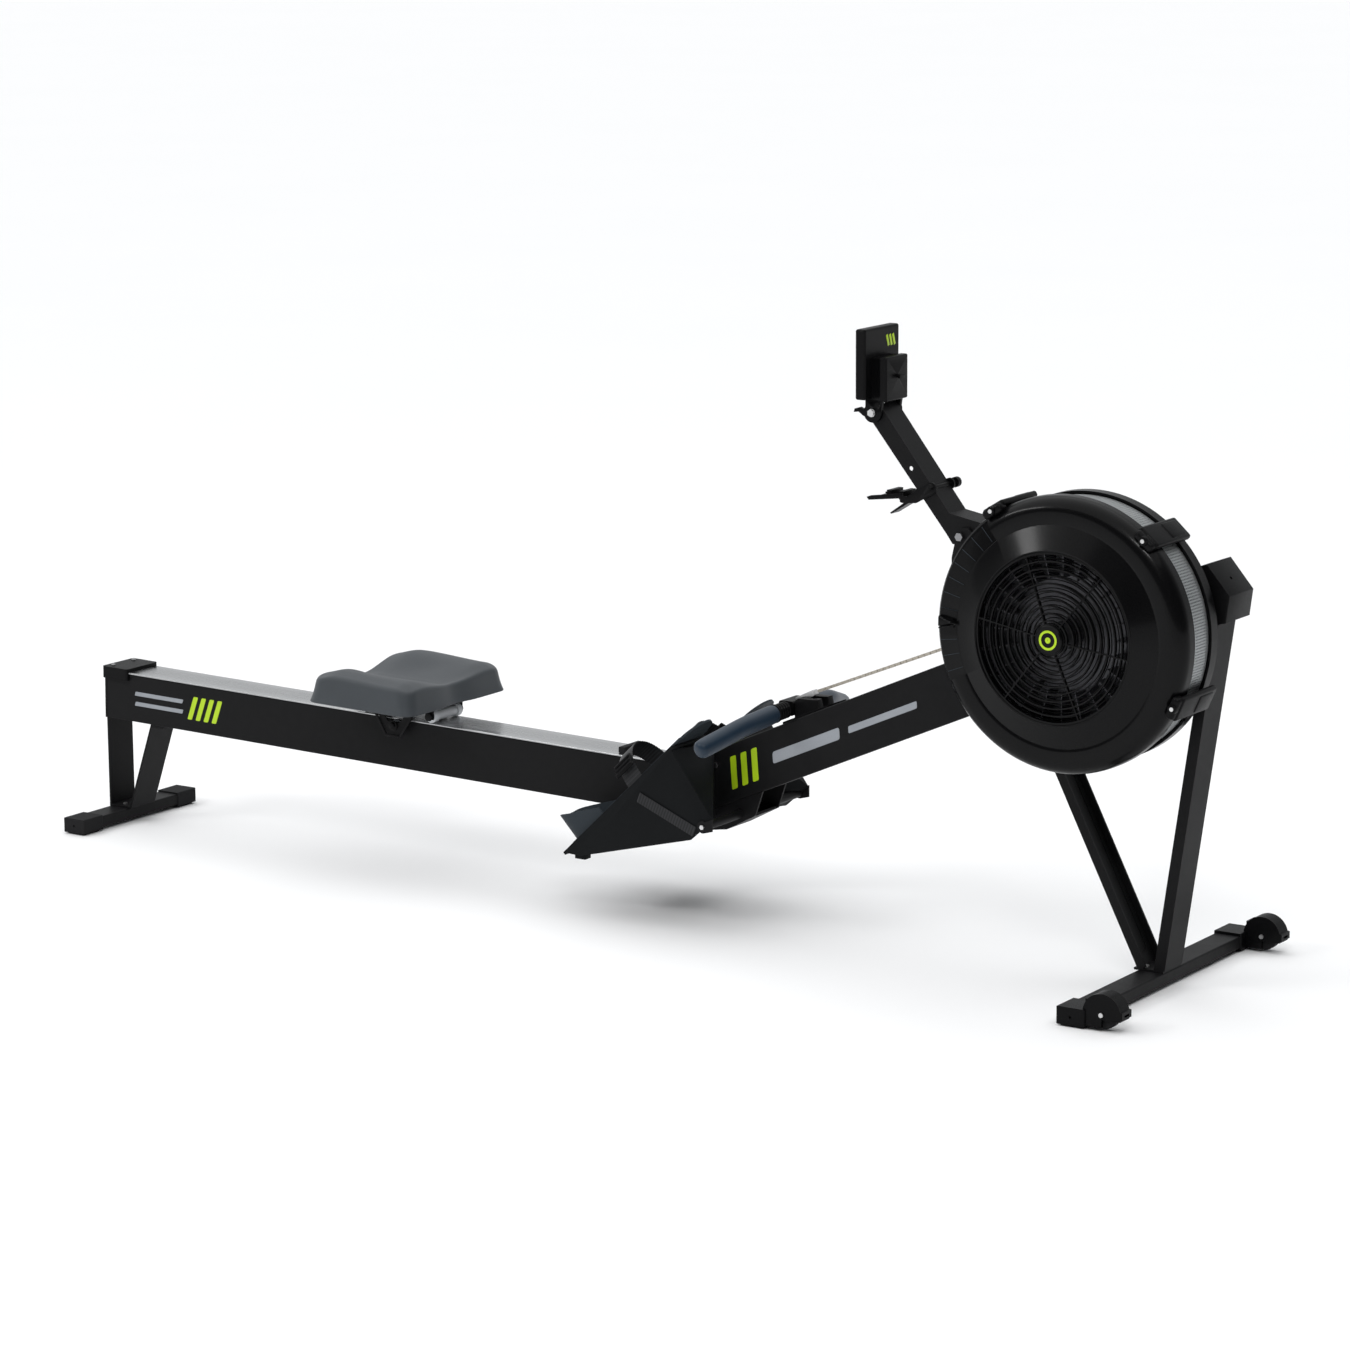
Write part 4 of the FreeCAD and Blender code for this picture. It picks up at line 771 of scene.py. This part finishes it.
def on_rail(u, y, w):
    """A point u along the rail, y to the left and w above its track, in metres."""
    c, s = math.cos(RAIL_SLOPE), math.sin(RAIL_SLOPE)
    return RAIL_REAR + Vector((u * c - w * s, y, u * s + w * c))


def ease(value, start, end):
    """0 at start, 1 at end, with a smooth rise between."""
    t = min(1.0, max(0.0, (value - start) / (end - start)))
    return t * t * (3.0 - 2.0 * t)


def seat_height(u, y):
    """Height of the seat's top above the track, at u from the pad's middle."""
    side = abs(y)
    front_lip, rear_lip = ease(u, 0.078, 0.121), ease(-u, 0.058, 0.121)
    ridge = 0.0945 - 0.0050 * ease(u, -0.06, 0.08) - 0.011 * front_lip - 0.013 * rear_lip
    valley = 0.0685 + 0.0045 * front_lip - 0.0060 * rear_lip
    height = valley + (ridge - valley) * ease(side, 0.004, 0.104)
    height -= 0.007 * ease(side, 0.112, 0.154)
    height -= 0.007 * math.exp(-((u + 0.005) / 0.045) ** 2 - ((side - 0.060) / 0.034) ** 2)
    return height


print("seat middle and ridge:", round(seat_height(0, 0), 4), round(seat_height(-0.08, 0.1), 4))

# %% Seat pad
PAD_SHIFT, PAD_L, PAD_W, PAD_CORNER = -0.006, 0.1215, 0.1575, 0.027
PAD_BOTTOM = 0.0342


def rounded(a, b, inset):
    """Place a point of a square from -1 to 1 inside the pad's rounded outline, shrunk by inset."""
    size = max(abs(a), abs(b), 1e-9)
    half_u, half_y, corner = PAD_L - inset, PAD_W - inset, PAD_CORNER
    u, y = a / size * half_u, b / size * half_y
    inner = Vector((min(max(u, corner - half_u), half_u - corner),
                    min(max(y, corner - half_y), half_y - corner)))
    away = Vector((u, y)) - inner
    spot = inner + (away.normalized() * corner if away.length > 0 else away)
    notch = 0.007 * math.exp(-(spot.y / 0.034) ** 2) * ease(spot.x, 0.06, 0.11)
    return Vector((spot.x - notch, spot.y)) * size


TOP_INSET = 0.0145

mesh = bmesh.new()
bmesh.ops.create_grid(mesh, x_segments=44, y_segments=56, size=1.0)
square = {vert: (vert.co.x, vert.co.y) for vert in mesh.verts}
for vert, (a, b) in square.items():
    spot = rounded(a, b, TOP_INSET)
    vert.co = (spot.x, spot.y, seat_height(spot.x, spot.y))
rim = {vert: square[vert] for vert in mesh.verts if vert.is_boundary}
edges = [edge for edge in mesh.edges if edge.is_boundary]
SKIRT = [(0.0118, 0.0016), (0.0098, 0.0040), (0.0085, 0.0078), (0.0076, 0.0125)]
SIDE = [(0.0058, 0.35), (0.0034, 0.66), (0.0014, 0.86), (0.0, 0.965), (0.0010, 0.99), (0.0042, 1.0)]
crest = {vert: vert.co.z for vert in rim}
for inset, step in SKIRT + SIDE:
    grown = bmesh.ops.extrude_edge_only(mesh, edges=edges)["geom"]
    fresh = points_of(grown)
    edges = [g for g in grown if isinstance(g, bmesh.types.BMEdge) and all(v in fresh for v in g.verts)]
    parent = {v: edge.other_vert(v) for v in fresh for edge in v.link_edges if edge.other_vert(v) in rim}
    rim = {v: rim[old] for v, old in parent.items()}
    crest = {v: crest[old] for v, old in parent.items()}
    for vert, (a, b) in rim.items():
        spot = rounded(a, b, inset)
        top = crest[vert] - SKIRT[-1][1]
        z = crest[vert] - step if (inset, step) in SKIRT else top + (PAD_BOTTOM - top) * step
        vert.co = (spot.x, spot.y, z)
bmesh.ops.holes_fill(mesh, edges=edges, sides=0)
for vert in mesh.verts:
    vert.co = on_rail(SEAT_U + PAD_SHIFT + vert.co.x, vert.co.y, vert.co.z)
pad = piece(mesh, "seat_cushion", "seat", "seat_foam", replaces=["seat_pad"], sharp=math.radians(70))
rounding = pad.modifiers.new("round", "SUBSURF")
rounding.levels = rounding.render_levels = 1
print("seat faces:", len(pad.data.polygons))

# %% [markdown]
# ## Grips
# A soft rubber grip is one smooth bent tube with a domed end. A NURBS curve through the bend with a
# round bevel gives it, and the curve's own radius draws in at the end to close the dome. The curve is
# turned into a mesh so that its place is in its points.

# %% Grips
GRIP_R, CORE_R = 0.017, 0.0135


def tube(points, radii, name, resolution=12, sides=6):
    """A mesh tube that follows a smooth curve through points, with a radius at each."""
    curve = bpy.data.curves.new(name, "CURVE")
    curve.dimensions = "3D"
    curve.bevel_depth = 1.0
    curve.bevel_resolution = sides
    curve.use_fill_caps = True
    spline = curve.splines.new("NURBS")
    spline.points.add(len(points) - 1)
    for knot, spot, radius in zip(spline.points, points, radii):
        knot.co = (*spot, 1.0)
        knot.radius = radius
    spline.order_u = 3
    spline.use_endpoint_u = True
    spline.resolution_u = resolution
    holder = bpy.data.objects.new(name, curve)
    bpy.context.scene.collection.objects.link(holder)
    bpy.context.view_layer.update()
    data = bpy.data.meshes.new_from_object(holder.evaluated_get(bpy.context.evaluated_depsgraph_get()))
    mesh = bmesh.new()
    mesh.from_mesh(data)
    bpy.data.objects.remove(holder)
    bpy.data.curves.remove(curve)
    bpy.data.meshes.remove(data)
    return mesh


for side, name in ((1, "left"), (-1, "right")):
    root = Vector((0.349, side * 0.062, 0.3945))
    bend = Vector((0.338, side * 0.140, 0.385))
    end = Vector((0.311, side * 0.225, 0.360))
    tip = (end - bend).normalized()
    run = [root, root.lerp(bend, 0.04), root.lerp(bend, 0.6), bend, bend.lerp(end, 0.4), end,
           end + tip * 0.008, end + tip * 0.0135, end + tip * 0.0164, end + tip * 0.0168]
    size = [0.0160, GRIP_R, GRIP_R, GRIP_R * 1.01, GRIP_R, GRIP_R, 0.0163, 0.0128, 0.0070, 0.0006]
    grip = piece(tube(run, size, "grip_run"), f"grip_rubber_{name}", "handle", "grip_rubber",
                 replaces=[f"grip_{name}"], sharp=math.radians(60))
print("grips:", len(grip.data.polygons), "faces each")

# %% [markdown]
# The middle of the handle is ribbed where the two grips meet the clamp. Each rib is a ring spun about
# the core's own line, so the lathe's idea is used again with another axis.

# %% Handle ribs
def ring_on(start, end, share, radius, thick, wide, steps=28):
    """A raised ring around the line from start to end."""
    axis = (end - start).normalized()
    across = axis.cross(Vector((0, 0, 1))).normalized()
    centre = start.lerp(end, share)
    mesh = bmesh.new()
    shape = ((-wide / 2, -0.001), (-wide / 2, thick * 0.4), (-wide / 4, thick), (wide / 4, thick),
             (wide / 2, thick * 0.4), (wide / 2, -0.001))
    corners = [mesh.verts.new(centre + axis * a + across * (radius + r)) for a, r in shape]
    edges = [mesh.edges.new((a, b)) for a, b in zip(corners, corners[1:] + corners[:1])]
    bmesh.ops.spin(mesh, geom=corners + edges, cent=centre, axis=axis, dvec=(0, 0, 0), angle=2 * math.pi,
                   steps=steps, use_merge=True, use_duplicate=False)
    return mesh


rings = []
for side in (-1, 1):
    start, end = Vector((0.353, side * 0.026, 0.397)), Vector((0.349, side * 0.062, 0.3945))
    rings += [ring_on(start, end, share, CORE_R, 0.0016, 0.0044) for share in (0.14, 0.32, 0.50, 0.68)]
    rings.append(ring_on(start, end, 0.93, CORE_R, 0.0034, 0.0050))
piece(gather(rings), "handle_ribs", "handle", "black_plastic")
print("handle ribs:", len(rings))

# %% [markdown]
# ## Foot straps
# Each foot is held by a loop of webbing that rises from one side of the footboard and comes down on the
# other, with its tail laid down the outer cheek. Webbing bends one way only, so each strap is a flat
# strip with a UV map in metres, rolled over its arch and then thickened.

# %% Footboard frame
BOARD_TIP = Vector((-0.037, 0.0, 0.115))
BOARD_SLOPE = math.radians(43.5)
BOARD_MID, BOARD_OUTER = 0.10125, 0.158
STRAP_U, STRAP_W, STRAP_T = 0.196, 0.038, 0.0018
TAIL_W, TAIL_T = 0.018, 0.0016
ARCH_HALF, ARCH_HIGH, ARCH_LIFT = 0.0518, 0.0628, 0.0006
RIB_HEIGHT = 0.0011


def on_board(u, y, w):
    """A point u up the sloping footboard, y to the left and w above its deck."""
    c, s = math.cos(BOARD_SLOPE), math.sin(BOARD_SLOPE)
    return BOARD_TIP + Vector((u * c - w * s, y, u * s + w * c))


def ribbon(length, width, shape, thickness):
    """A ribbed strip of webbing: shape(t) gives its middle line, the way across it and the way out."""
    mesh = bmesh.new()
    steps = 2 * round(length / RIB)
    bmesh.ops.create_grid(mesh, x_segments=steps, y_segments=2, size=0.5)
    threads = mesh.loops.layers.uv.new("threads")
    for face in mesh.faces:
        for loop in face.loops:
            loop[threads].uv = ((loop.vert.co.x + 0.5) * length, (loop.vert.co.y + 0.5) * width)
    for vert in mesh.verts:
        middle, across, out = shape(vert.co.x + 0.5)
        crest = RIB_HEIGHT * (round((vert.co.x + 0.5) * steps) % 2)
        vert.co = middle + across * (vert.co.y * width) + out * crest
    bmesh.ops.solidify(mesh, geom=mesh.faces[:], thickness=thickness)
    return mesh


def arch_length(half, height, count=200):
    """The length of half an ellipse, added up over many short runs."""
    spots = [Vector((half * math.cos(math.pi * k / count), height * math.sin(math.pi * k / count)))
             for k in range(count + 1)]
    return sum((b - a).length for a, b in zip(spots, spots[1:]))


ARCH = arch_length(ARCH_HALF, ARCH_HIGH)
TAIL_FROM, TAIL_TO = Vector((0.128, 0.0, 0.238)), Vector((0.246, 0.0, 0.190))
TAIL = (TAIL_TO - TAIL_FROM).length
print("strap over the foot:", round(ARCH, 4), "m; tail:", round(TAIL, 4), "m")

# %% Foot straps and tails
for side, name in ((1, "left"), (-1, "right")):
    def over_foot(t, side=side):
        turn = math.pi * t
        place = on_board(STRAP_U + STRAP_W / 2, side * (BOARD_MID + ARCH_HALF * math.cos(turn)),
                         ARCH_HIGH * math.sin(turn) + ARCH_LIFT)
        out = on_board(0, side * math.cos(turn), math.sin(turn)) - on_board(0, 0, 0)
        return place, on_board(1, 0, 0) - on_board(0, 0, 0), out

    strap = piece(ribbon(ARCH, STRAP_W, over_foot, STRAP_T), f"foot_webbing_{name}", "frame", "webbing",
                  replaces=[f"foot_strap_{name}"], sharp=math.radians(60))

    def down_cheek(t, side=side):
        place = TAIL_FROM.lerp(TAIL_TO, t) + Vector((0, side * (BOARD_OUTER + 0.0012), 0))
        line = (TAIL_TO - TAIL_FROM).normalized()
        return place, line.cross(Vector((0, side, 0))), Vector((0, side, 0))

    tail = piece(ribbon(TAIL, TAIL_W, down_cheek, TAIL_T), f"strap_tail_{name}", "frame", "webbing",
                 sharp=math.radians(60))
    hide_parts(f"foot_strap_{name}")
print("straps and tails ready")

# %% [markdown]
# ## Ribs under the foot
# Ribs moulded across a foot plate stop a shoe from sliding: six under the toes, each a little narrower
# than the last, and four low ones under the heel. Each is a rounded bar tilted with the board.

# %% Toe and heel ribs
TOE_RIBS, HEEL_RIBS = 6, 4


def board_bar(side, u, w, size):
    """A rounded bar across a footboard, u up its slope and w above its deck."""
    return soft_box(on_board(u, side * BOARD_MID, w), size, Matrix.Rotation(-BOARD_SLOPE, 3, "Y"))


for side, name in ((1, "left"), (-1, "right")):
    toe = [board_bar(side, 0.300 + 0.012 * k, 0.0046, (0.0045, 0.062 - 0.0035 * k, 0.0022))
           for k in range(TOE_RIBS)]
    heel = [board_bar(side, 0.030 + 0.014 * k, 0.0042, (0.004, 0.052, 0.0016)) for k in range(HEEL_RIBS)]
    piece(gather(toe + heel), f"foot_plate_ribs_{name}", f"foot_plate_{name}", "slate_plastic")
print("ribs on each foot plate:", TOE_RIBS, "+", HEEL_RIBS)

# %% [markdown]
# ## Stripes
# Plain slanted stripes of printed film run along the rail and the beam and across the back of the
# monitor, and give the black machine its touches of lime and silver. Each is a thin slanted bar.

# %% Printed stripes
FILM_T = 0.0003
RAIL_FACE, BEAM_FACE = -0.038, -0.040
SLANT = 0.35


def stripe(centre, length, height, slope, face):
    """A flat slanted bar of film on the side face of a member, at the member's slope."""
    mesh = bmesh.new()
    bmesh.ops.create_cube(mesh, size=1.0)
    bmesh.ops.scale(mesh, vec=(length, FILM_T, height), verts=mesh.verts)
    for vert in mesh.verts:
        vert.co.x += vert.co.z * SLANT
    upright = [edge for edge in mesh.edges if abs((edge.verts[0].co - edge.verts[1].co).y) > FILM_T / 2]
    round_edges(mesh, upright, min(length, height) * 0.22, 4)
    return set_down(mesh, Matrix.Rotation(-slope, 3, "Y"), centre + Vector((0, face - FILM_T / 2, 0)))


lime = [stripe(on_beam(0.166 + 0.024 * k, 0.0), 0.013, 0.056, BEAM_SLOPE, BEAM_FACE) for k in range(3)]
silver = [stripe(on_beam(0.330 + 0.170 * k, 0.0), 0.150, 0.020 - 0.008 * k, BEAM_SLOPE, BEAM_FACE)
          for k in range(2)]
lime += [stripe(on_rail(0.215 + 0.020 * k, 0, -0.050), 0.011, 0.046, RAIL_SLOPE, RAIL_FACE) for k in range(4)]
silver += [stripe(on_rail(0.130, 0, -0.040 - 0.020 * k), 0.120, 0.008, RAIL_SLOPE, RAIL_FACE)
           for k in range(2)]
back_lime = [soft_box((0.5312, 0.018 + 0.010 * k, 1.055), (FILM_T, 0.006, 0.020),
                      Matrix.Rotation(math.radians(18), 3, "X"), round_off=0.0001) for k in range(3)]
piece(gather(back_lime), "monitor_stripes", "monitor", "lime_film")
piece(gather(lime), "lime_stripes", "frame", "lime_film")
piece(gather(silver), "silver_stripes", "frame", "silver_film")
print("stripes:", len(lime), "lime,", len(silver), "silver")

# %% [markdown]
# ## Moulded edges
# No moulding has a knife edge: the rounding along an edge is what catches a line of light. A few CAD
# parts leave their edges square, so a copy of each is merged, its flat faces are joined, and its sharp
# edges are bevelled. The copy then stands for the part; the part itself is left as it was.

# %% Rounded copies of square mouldings
FLAT, CORNER = 2.0, 38.0


def softened(node, body, finish, width):
    """A copy of a CAD part with a small rounding along its sharp edges."""
    mesh = bmesh.new()
    mesh.from_mesh(frame["nodes"][node].data)
    bmesh.ops.remove_doubles(mesh, verts=mesh.verts, dist=TOUCHING)
    bmesh.ops.dissolve_limit(mesh, angle_limit=math.radians(FLAT), verts=mesh.verts[:], edges=mesh.edges[:])
    sharp = [edge for edge in mesh.edges if len(edge.link_faces) == 2
             and edge.calc_face_angle() > math.radians(CORNER) and edge.calc_length() > 4 * width]
    round_edges(mesh, sharp, width, 3)
    bmesh.ops.triangulate(mesh, faces=[face for face in mesh.faces if len(face.verts) > 4])
    return piece(mesh, f"soft_{node}", body, finish, replaces=[node])


SOFTENED = (("footrest_shell_left", "frame", "footrest_plastic", 0.0022),
            ("footrest_shell_right", "frame", "footrest_plastic", 0.0022),
            ("beam_front_cap", "frame", "black_plastic", 0.0026),
            ("handle_holder", "frame", "black_plastic", 0.0020),
            ("monitor_mount", "monitor", "black_plastic", 0.0014),
            ("device_holder", "device_holder", "black_plastic", 0.0010))
for node, body, finish, width in SOFTENED:
    made = softened(node, body, finish, width)
    print("softened", node, "to", len(made.data.polygons), "faces")

# %% [markdown]
# ## Cage clips
# Three plastic housings clamp the two covers and the band between them. Each is a rounded block across
# the rim with a round boss for its screw on the near cover. Blocks with bevelled edges are turned to
# their place round the axle, just as the ribs of the scale were.

# %% Clip housings
CLIP_ANGLES = (122.0, 48.0, -24.0)
CLIP_OUT = 0.2385

CLIP_BLOCKS = (((CLIP_OUT, -0.124, 0.0), (0.0115, 0.118, 0.044), 0.0045, 4),
               ((CLIP_OUT + 0.0018, -0.100, 0.0), (0.0115, 0.050, 0.034), 0.0044, 3),
               ((CLIP_OUT - 0.0050, -0.182, 0.0), (0.0160, 0.022, 0.040), 0.0060, 4))
BOSS = Vector((0.2345, -0.1920, 0.0))

clips = []
for angle in CLIP_ANGLES:
    blocks = [soft_box(FAN + Vector(middle), size, round_off=round_off, segments=segments)
              for middle, size, round_off, segments in CLIP_BLOCKS]
    boss = bmesh.new()
    bmesh.ops.create_cone(boss, cap_ends=True, segments=32, radius1=0.0088, radius2=0.0076, depth=0.009)
    rim = [edge for edge in boss.edges if edge.calc_face_angle() > 1.0]
    round_edges(boss, rim, 0.0012, 2, clamp=False)
    set_down(boss, Matrix.Rotation(math.pi / 2, 3, "X"), FAN + BOSS)
    clips += [about_fan(part, angle) for part in blocks + [boss]]
piece(gather(clips), "clip_housings", "frame", "black_plastic", replaces=["cage_clips"])
print("clips:", len(CLIP_ANGLES), "of", len(clips) // len(CLIP_ANGLES), "parts")

# %% [markdown]
# ## Damper lever
# The lever is a finger tab: two thin walls that spread from a point at the cone to the rim, standing on
# a curved foot that slides in the recess. The foot is spun; each wall is a bevelled plate.

# %% Damper lever
LEVER_ANGLE, LEVER_SPREAD, LEVER_REACH = 179.0, 0.0105, 0.041
WALL_T = 0.0024


def lever_wall(lean):
    """One wall of the tab, from the cone's edge out to the rim, leaning by an angle about its tip."""
    mesh = bmesh.new()
    outline = ((0.1835, -0.1925), (0.1960, -0.2005), (0.2230, -0.1945), (0.2260, -0.1880),
               (0.2210, -0.1836), (0.1905, -0.1838))
    wall = mesh.faces.new([mesh.verts.new(FAN + Vector((r, y, -WALL_T / 2))) for r, y in outline])
    grown = bmesh.ops.extrude_face_region(mesh, geom=[wall], use_keep_orig=True)["geom"]
    bmesh.ops.translate(mesh, vec=(0, 0, WALL_T), verts=points_of(grown))
    bmesh.ops.recalc_face_normals(mesh, faces=mesh.faces)
    round_edges(mesh, mesh.edges[:], 0.0007, 2)
    tip = FAN + Vector((0.1850, 0, 0))
    bmesh.ops.rotate(mesh, verts=mesh.verts, cent=tip, matrix=Matrix.Rotation(lean, 3, "Y"))
    return about_fan(mesh, LEVER_ANGLE)


lean = math.atan(LEVER_SPREAD / LEVER_REACH)
foot_section = [(192, -185.3), (223, -185.3), (223, -183.6), (192, -183.6)]
foot = lathe([(foot_section, LEVER_ANGLE - 6.0, 12.0)], steps=180)
pad_floor = about_fan(soft_box(FAN + Vector((0.2110, -0.1866, 0)), (0.030, 0.0040, 0.0150)), LEVER_ANGLE)
piece(gather([foot, pad_floor, lever_wall(lean), lever_wall(-lean)]), "damper_tab", "damper", "cover_plastic",
      replaces=["damper_lever"])
print("lever walls lean", round(math.degrees(lean), 1), "degrees each way")

# %% [markdown]
# ## Cam buckles
# Each strap is locked by a cam: a rounded paddle with three fat ribs for the thumb, hinged on the side
# of the strap's arch. It is built flat, then leaned and laid on the sloping board.

# %% Cam buckles
BUCKLE_LEAN = math.radians(32.0)
HINGE_TURN = math.radians(38)
HINGE_Y = BOARD_MID + 0.053 * math.cos(HINGE_TURN) + 0.0066
HINGE_W = 0.064 * math.sin(HINGE_TURN) + 0.005


def cam_part(side, y, w, size, round_off):
    """A block of the buckle, y out from its hinge and w along its paddle, in the paddle's own frame."""
    mesh = soft_box((STRAP_U + 0.019, side * y, w), size, round_off=round_off, segments=3)
    set_down(mesh, Matrix.Rotation(side * BUCKLE_LEAN, 3, "X"), (0, side * HINGE_Y, HINGE_W))
    return set_down(mesh, Matrix.Rotation(-BOARD_SLOPE, 3, "Y"), BOARD_TIP)


for side, name in ((1, "left"), (-1, "right")):
    parts = [cam_part(side, 0.0, -0.0100, (0.045, 0.0052, 0.0270), 0.0022)]
    parts += [cam_part(side, 0.0026, -0.0190 + 0.0085 * k, (0.043, 0.0040, 0.0048), 0.0018) for k in range(3)]
    parts += [cam_part(side, -0.0008, -0.0080, (0.0475, 0.0046, 0.0120), 0.0018)]
    piece(gather(parts), f"cam_{name}", f"buckle_{name}", "black_plastic", replaces=[f"strap_buckle_{name}"])
print("cam buckles leaned by", round(math.degrees(BUCKLE_LEAN)), "degrees")

# %% [markdown]
# ## Seat carriage details
# Under the pad, a pressed V on each side carries the lower roller. Its edges are folded into ribs, and
# a dark bolt with a washer holds the roller's pin.

# %% Seat carriage details
def rail_block(u, y, w, size, tilt=0.0, round_off=0.0008):
    """A bevelled block on the rail's frame, tilted in the plane of the rail's side."""
    return soft_box(on_rail(SEAT_U + u, y, w), size, Matrix.Rotation(-tilt - RAIL_SLOPE, 3, "Y"), round_off)


def rail_disc(u, y, w, radius, depth, sides=28):
    """A short turned disc whose axis runs across the rail."""
    mesh = bmesh.new()
    bmesh.ops.create_cone(mesh, cap_ends=True, segments=sides, radius1=radius, radius2=radius, depth=depth)
    rim = [edge for edge in mesh.edges if edge.calc_face_angle() > 1.4]
    round_edges(mesh, rim, min(radius, depth) * 0.15, 2, clamp=False)
    return set_down(mesh, Matrix.Rotation(math.pi / 2, 3, "X"), on_rail(SEAT_U + u, y, w))


V_TILT = math.atan2(0.064, 0.040)
fittings = []
for side in (-1, 1):
    for lean in (-1, 1):
        fittings.append(rail_block(lean * 0.0360, side * 0.0522, -0.0020, (0.074, 0.0032, 0.0052),
                                   lean * V_TILT))
    fittings.append(rail_block(0.0, side * 0.0522, 0.0270, (0.110, 0.0032, 0.0050)))
    fittings.append(rail_block(0.0, side * 0.0522, -0.0325, (0.034, 0.0032, 0.0052)))
    fittings.append(rail_disc(0.0, side * 0.0535, -0.0125, 0.0098, 0.0024))
    fittings.append(rail_disc(0.0, side * 0.0562, -0.0125, 0.0062, 0.0040, sides=6))
    fittings += [rail_disc(u, side * 0.0520, 0.0200, 0.0042, 0.0030) for u in (-0.040, 0.040)]
    fittings += [rail_disc(u, side * 0.0480, 0.0130, 0.0080, 0.0036) for u in (-0.079, 0.079)]
piece(gather(fittings), "carriage_fittings", "seat", "black_paint")
print("carriage fittings:", len(fittings))

# %% [markdown]
# ## Monitor details
# The monitor tilts on a bright bolt at each side: a hexagon head on its washer. On the rower's side the
# display shows plain zeros, each built of the bars that a seven-segment digit lights for it.

# %% Tilt bolts
PIVOT = Vector((0.533, 0.0, 0.936))


def pivot_bolt(place, side, y, radius, depth, washer):
    """A hexagon head on its washer, standing out of a side face."""
    head = bmesh.new()
    bmesh.ops.create_cone(head, cap_ends=True, segments=6, radius1=radius, radius2=radius * 0.94, depth=depth)
    plate = bmesh.new()
    bmesh.ops.create_cone(plate, cap_ends=True, segments=32, radius1=washer, radius2=washer,
                          depth=depth * 0.35)
    turn = Matrix.Rotation(side * math.pi / 2, 3, "X")
    return [set_down(mesh, turn, place + Vector((0, side * (y + out), 0)))
            for mesh, out in ((head, depth * 0.5), (plate, 0.0))]


bolts = [part for side in (-1, 1) for part in pivot_bolt(PIVOT, side, 0.0380, 0.0066, 0.0044, 0.0070)]
piece(gather(bolts), "tilt_bolts", "monitor", "bright_steel")
print("tilt bolts:", len(bolts) // 2)

# %% Zeros on the display
DIGIT_H, DIGIT_W, SCREEN_X = 0.016, 0.0085, 0.5114
DIGIT_PITCH, BAR_W, BAR_T = 0.0155, 0.0016, 0.0006
ROWS = ((1.058, 4), (1.032, 4), (1.006, 3))

marks = []
for top, count in ROWS:
    for column in range(count):
        middle = Vector((SCREEN_X, 0.022 - DIGIT_PITCH * column, top - DIGIT_H / 2))
        for up in (-1, 1):
            marks.append(soft_box(middle + Vector((0, 0, up * DIGIT_H / 2)), (BAR_T, DIGIT_W, BAR_W)))
            for out in (-1, 1):
                marks.append(soft_box(middle + Vector((0, out * DIGIT_W / 2, up * DIGIT_H / 4)),
                                      (BAR_T, BAR_W, DIGIT_H / 2 - 0.0012)))
piece(gather(marks), "display_zeros", "monitor", "black_plastic")
print("display bars:", len(marks))
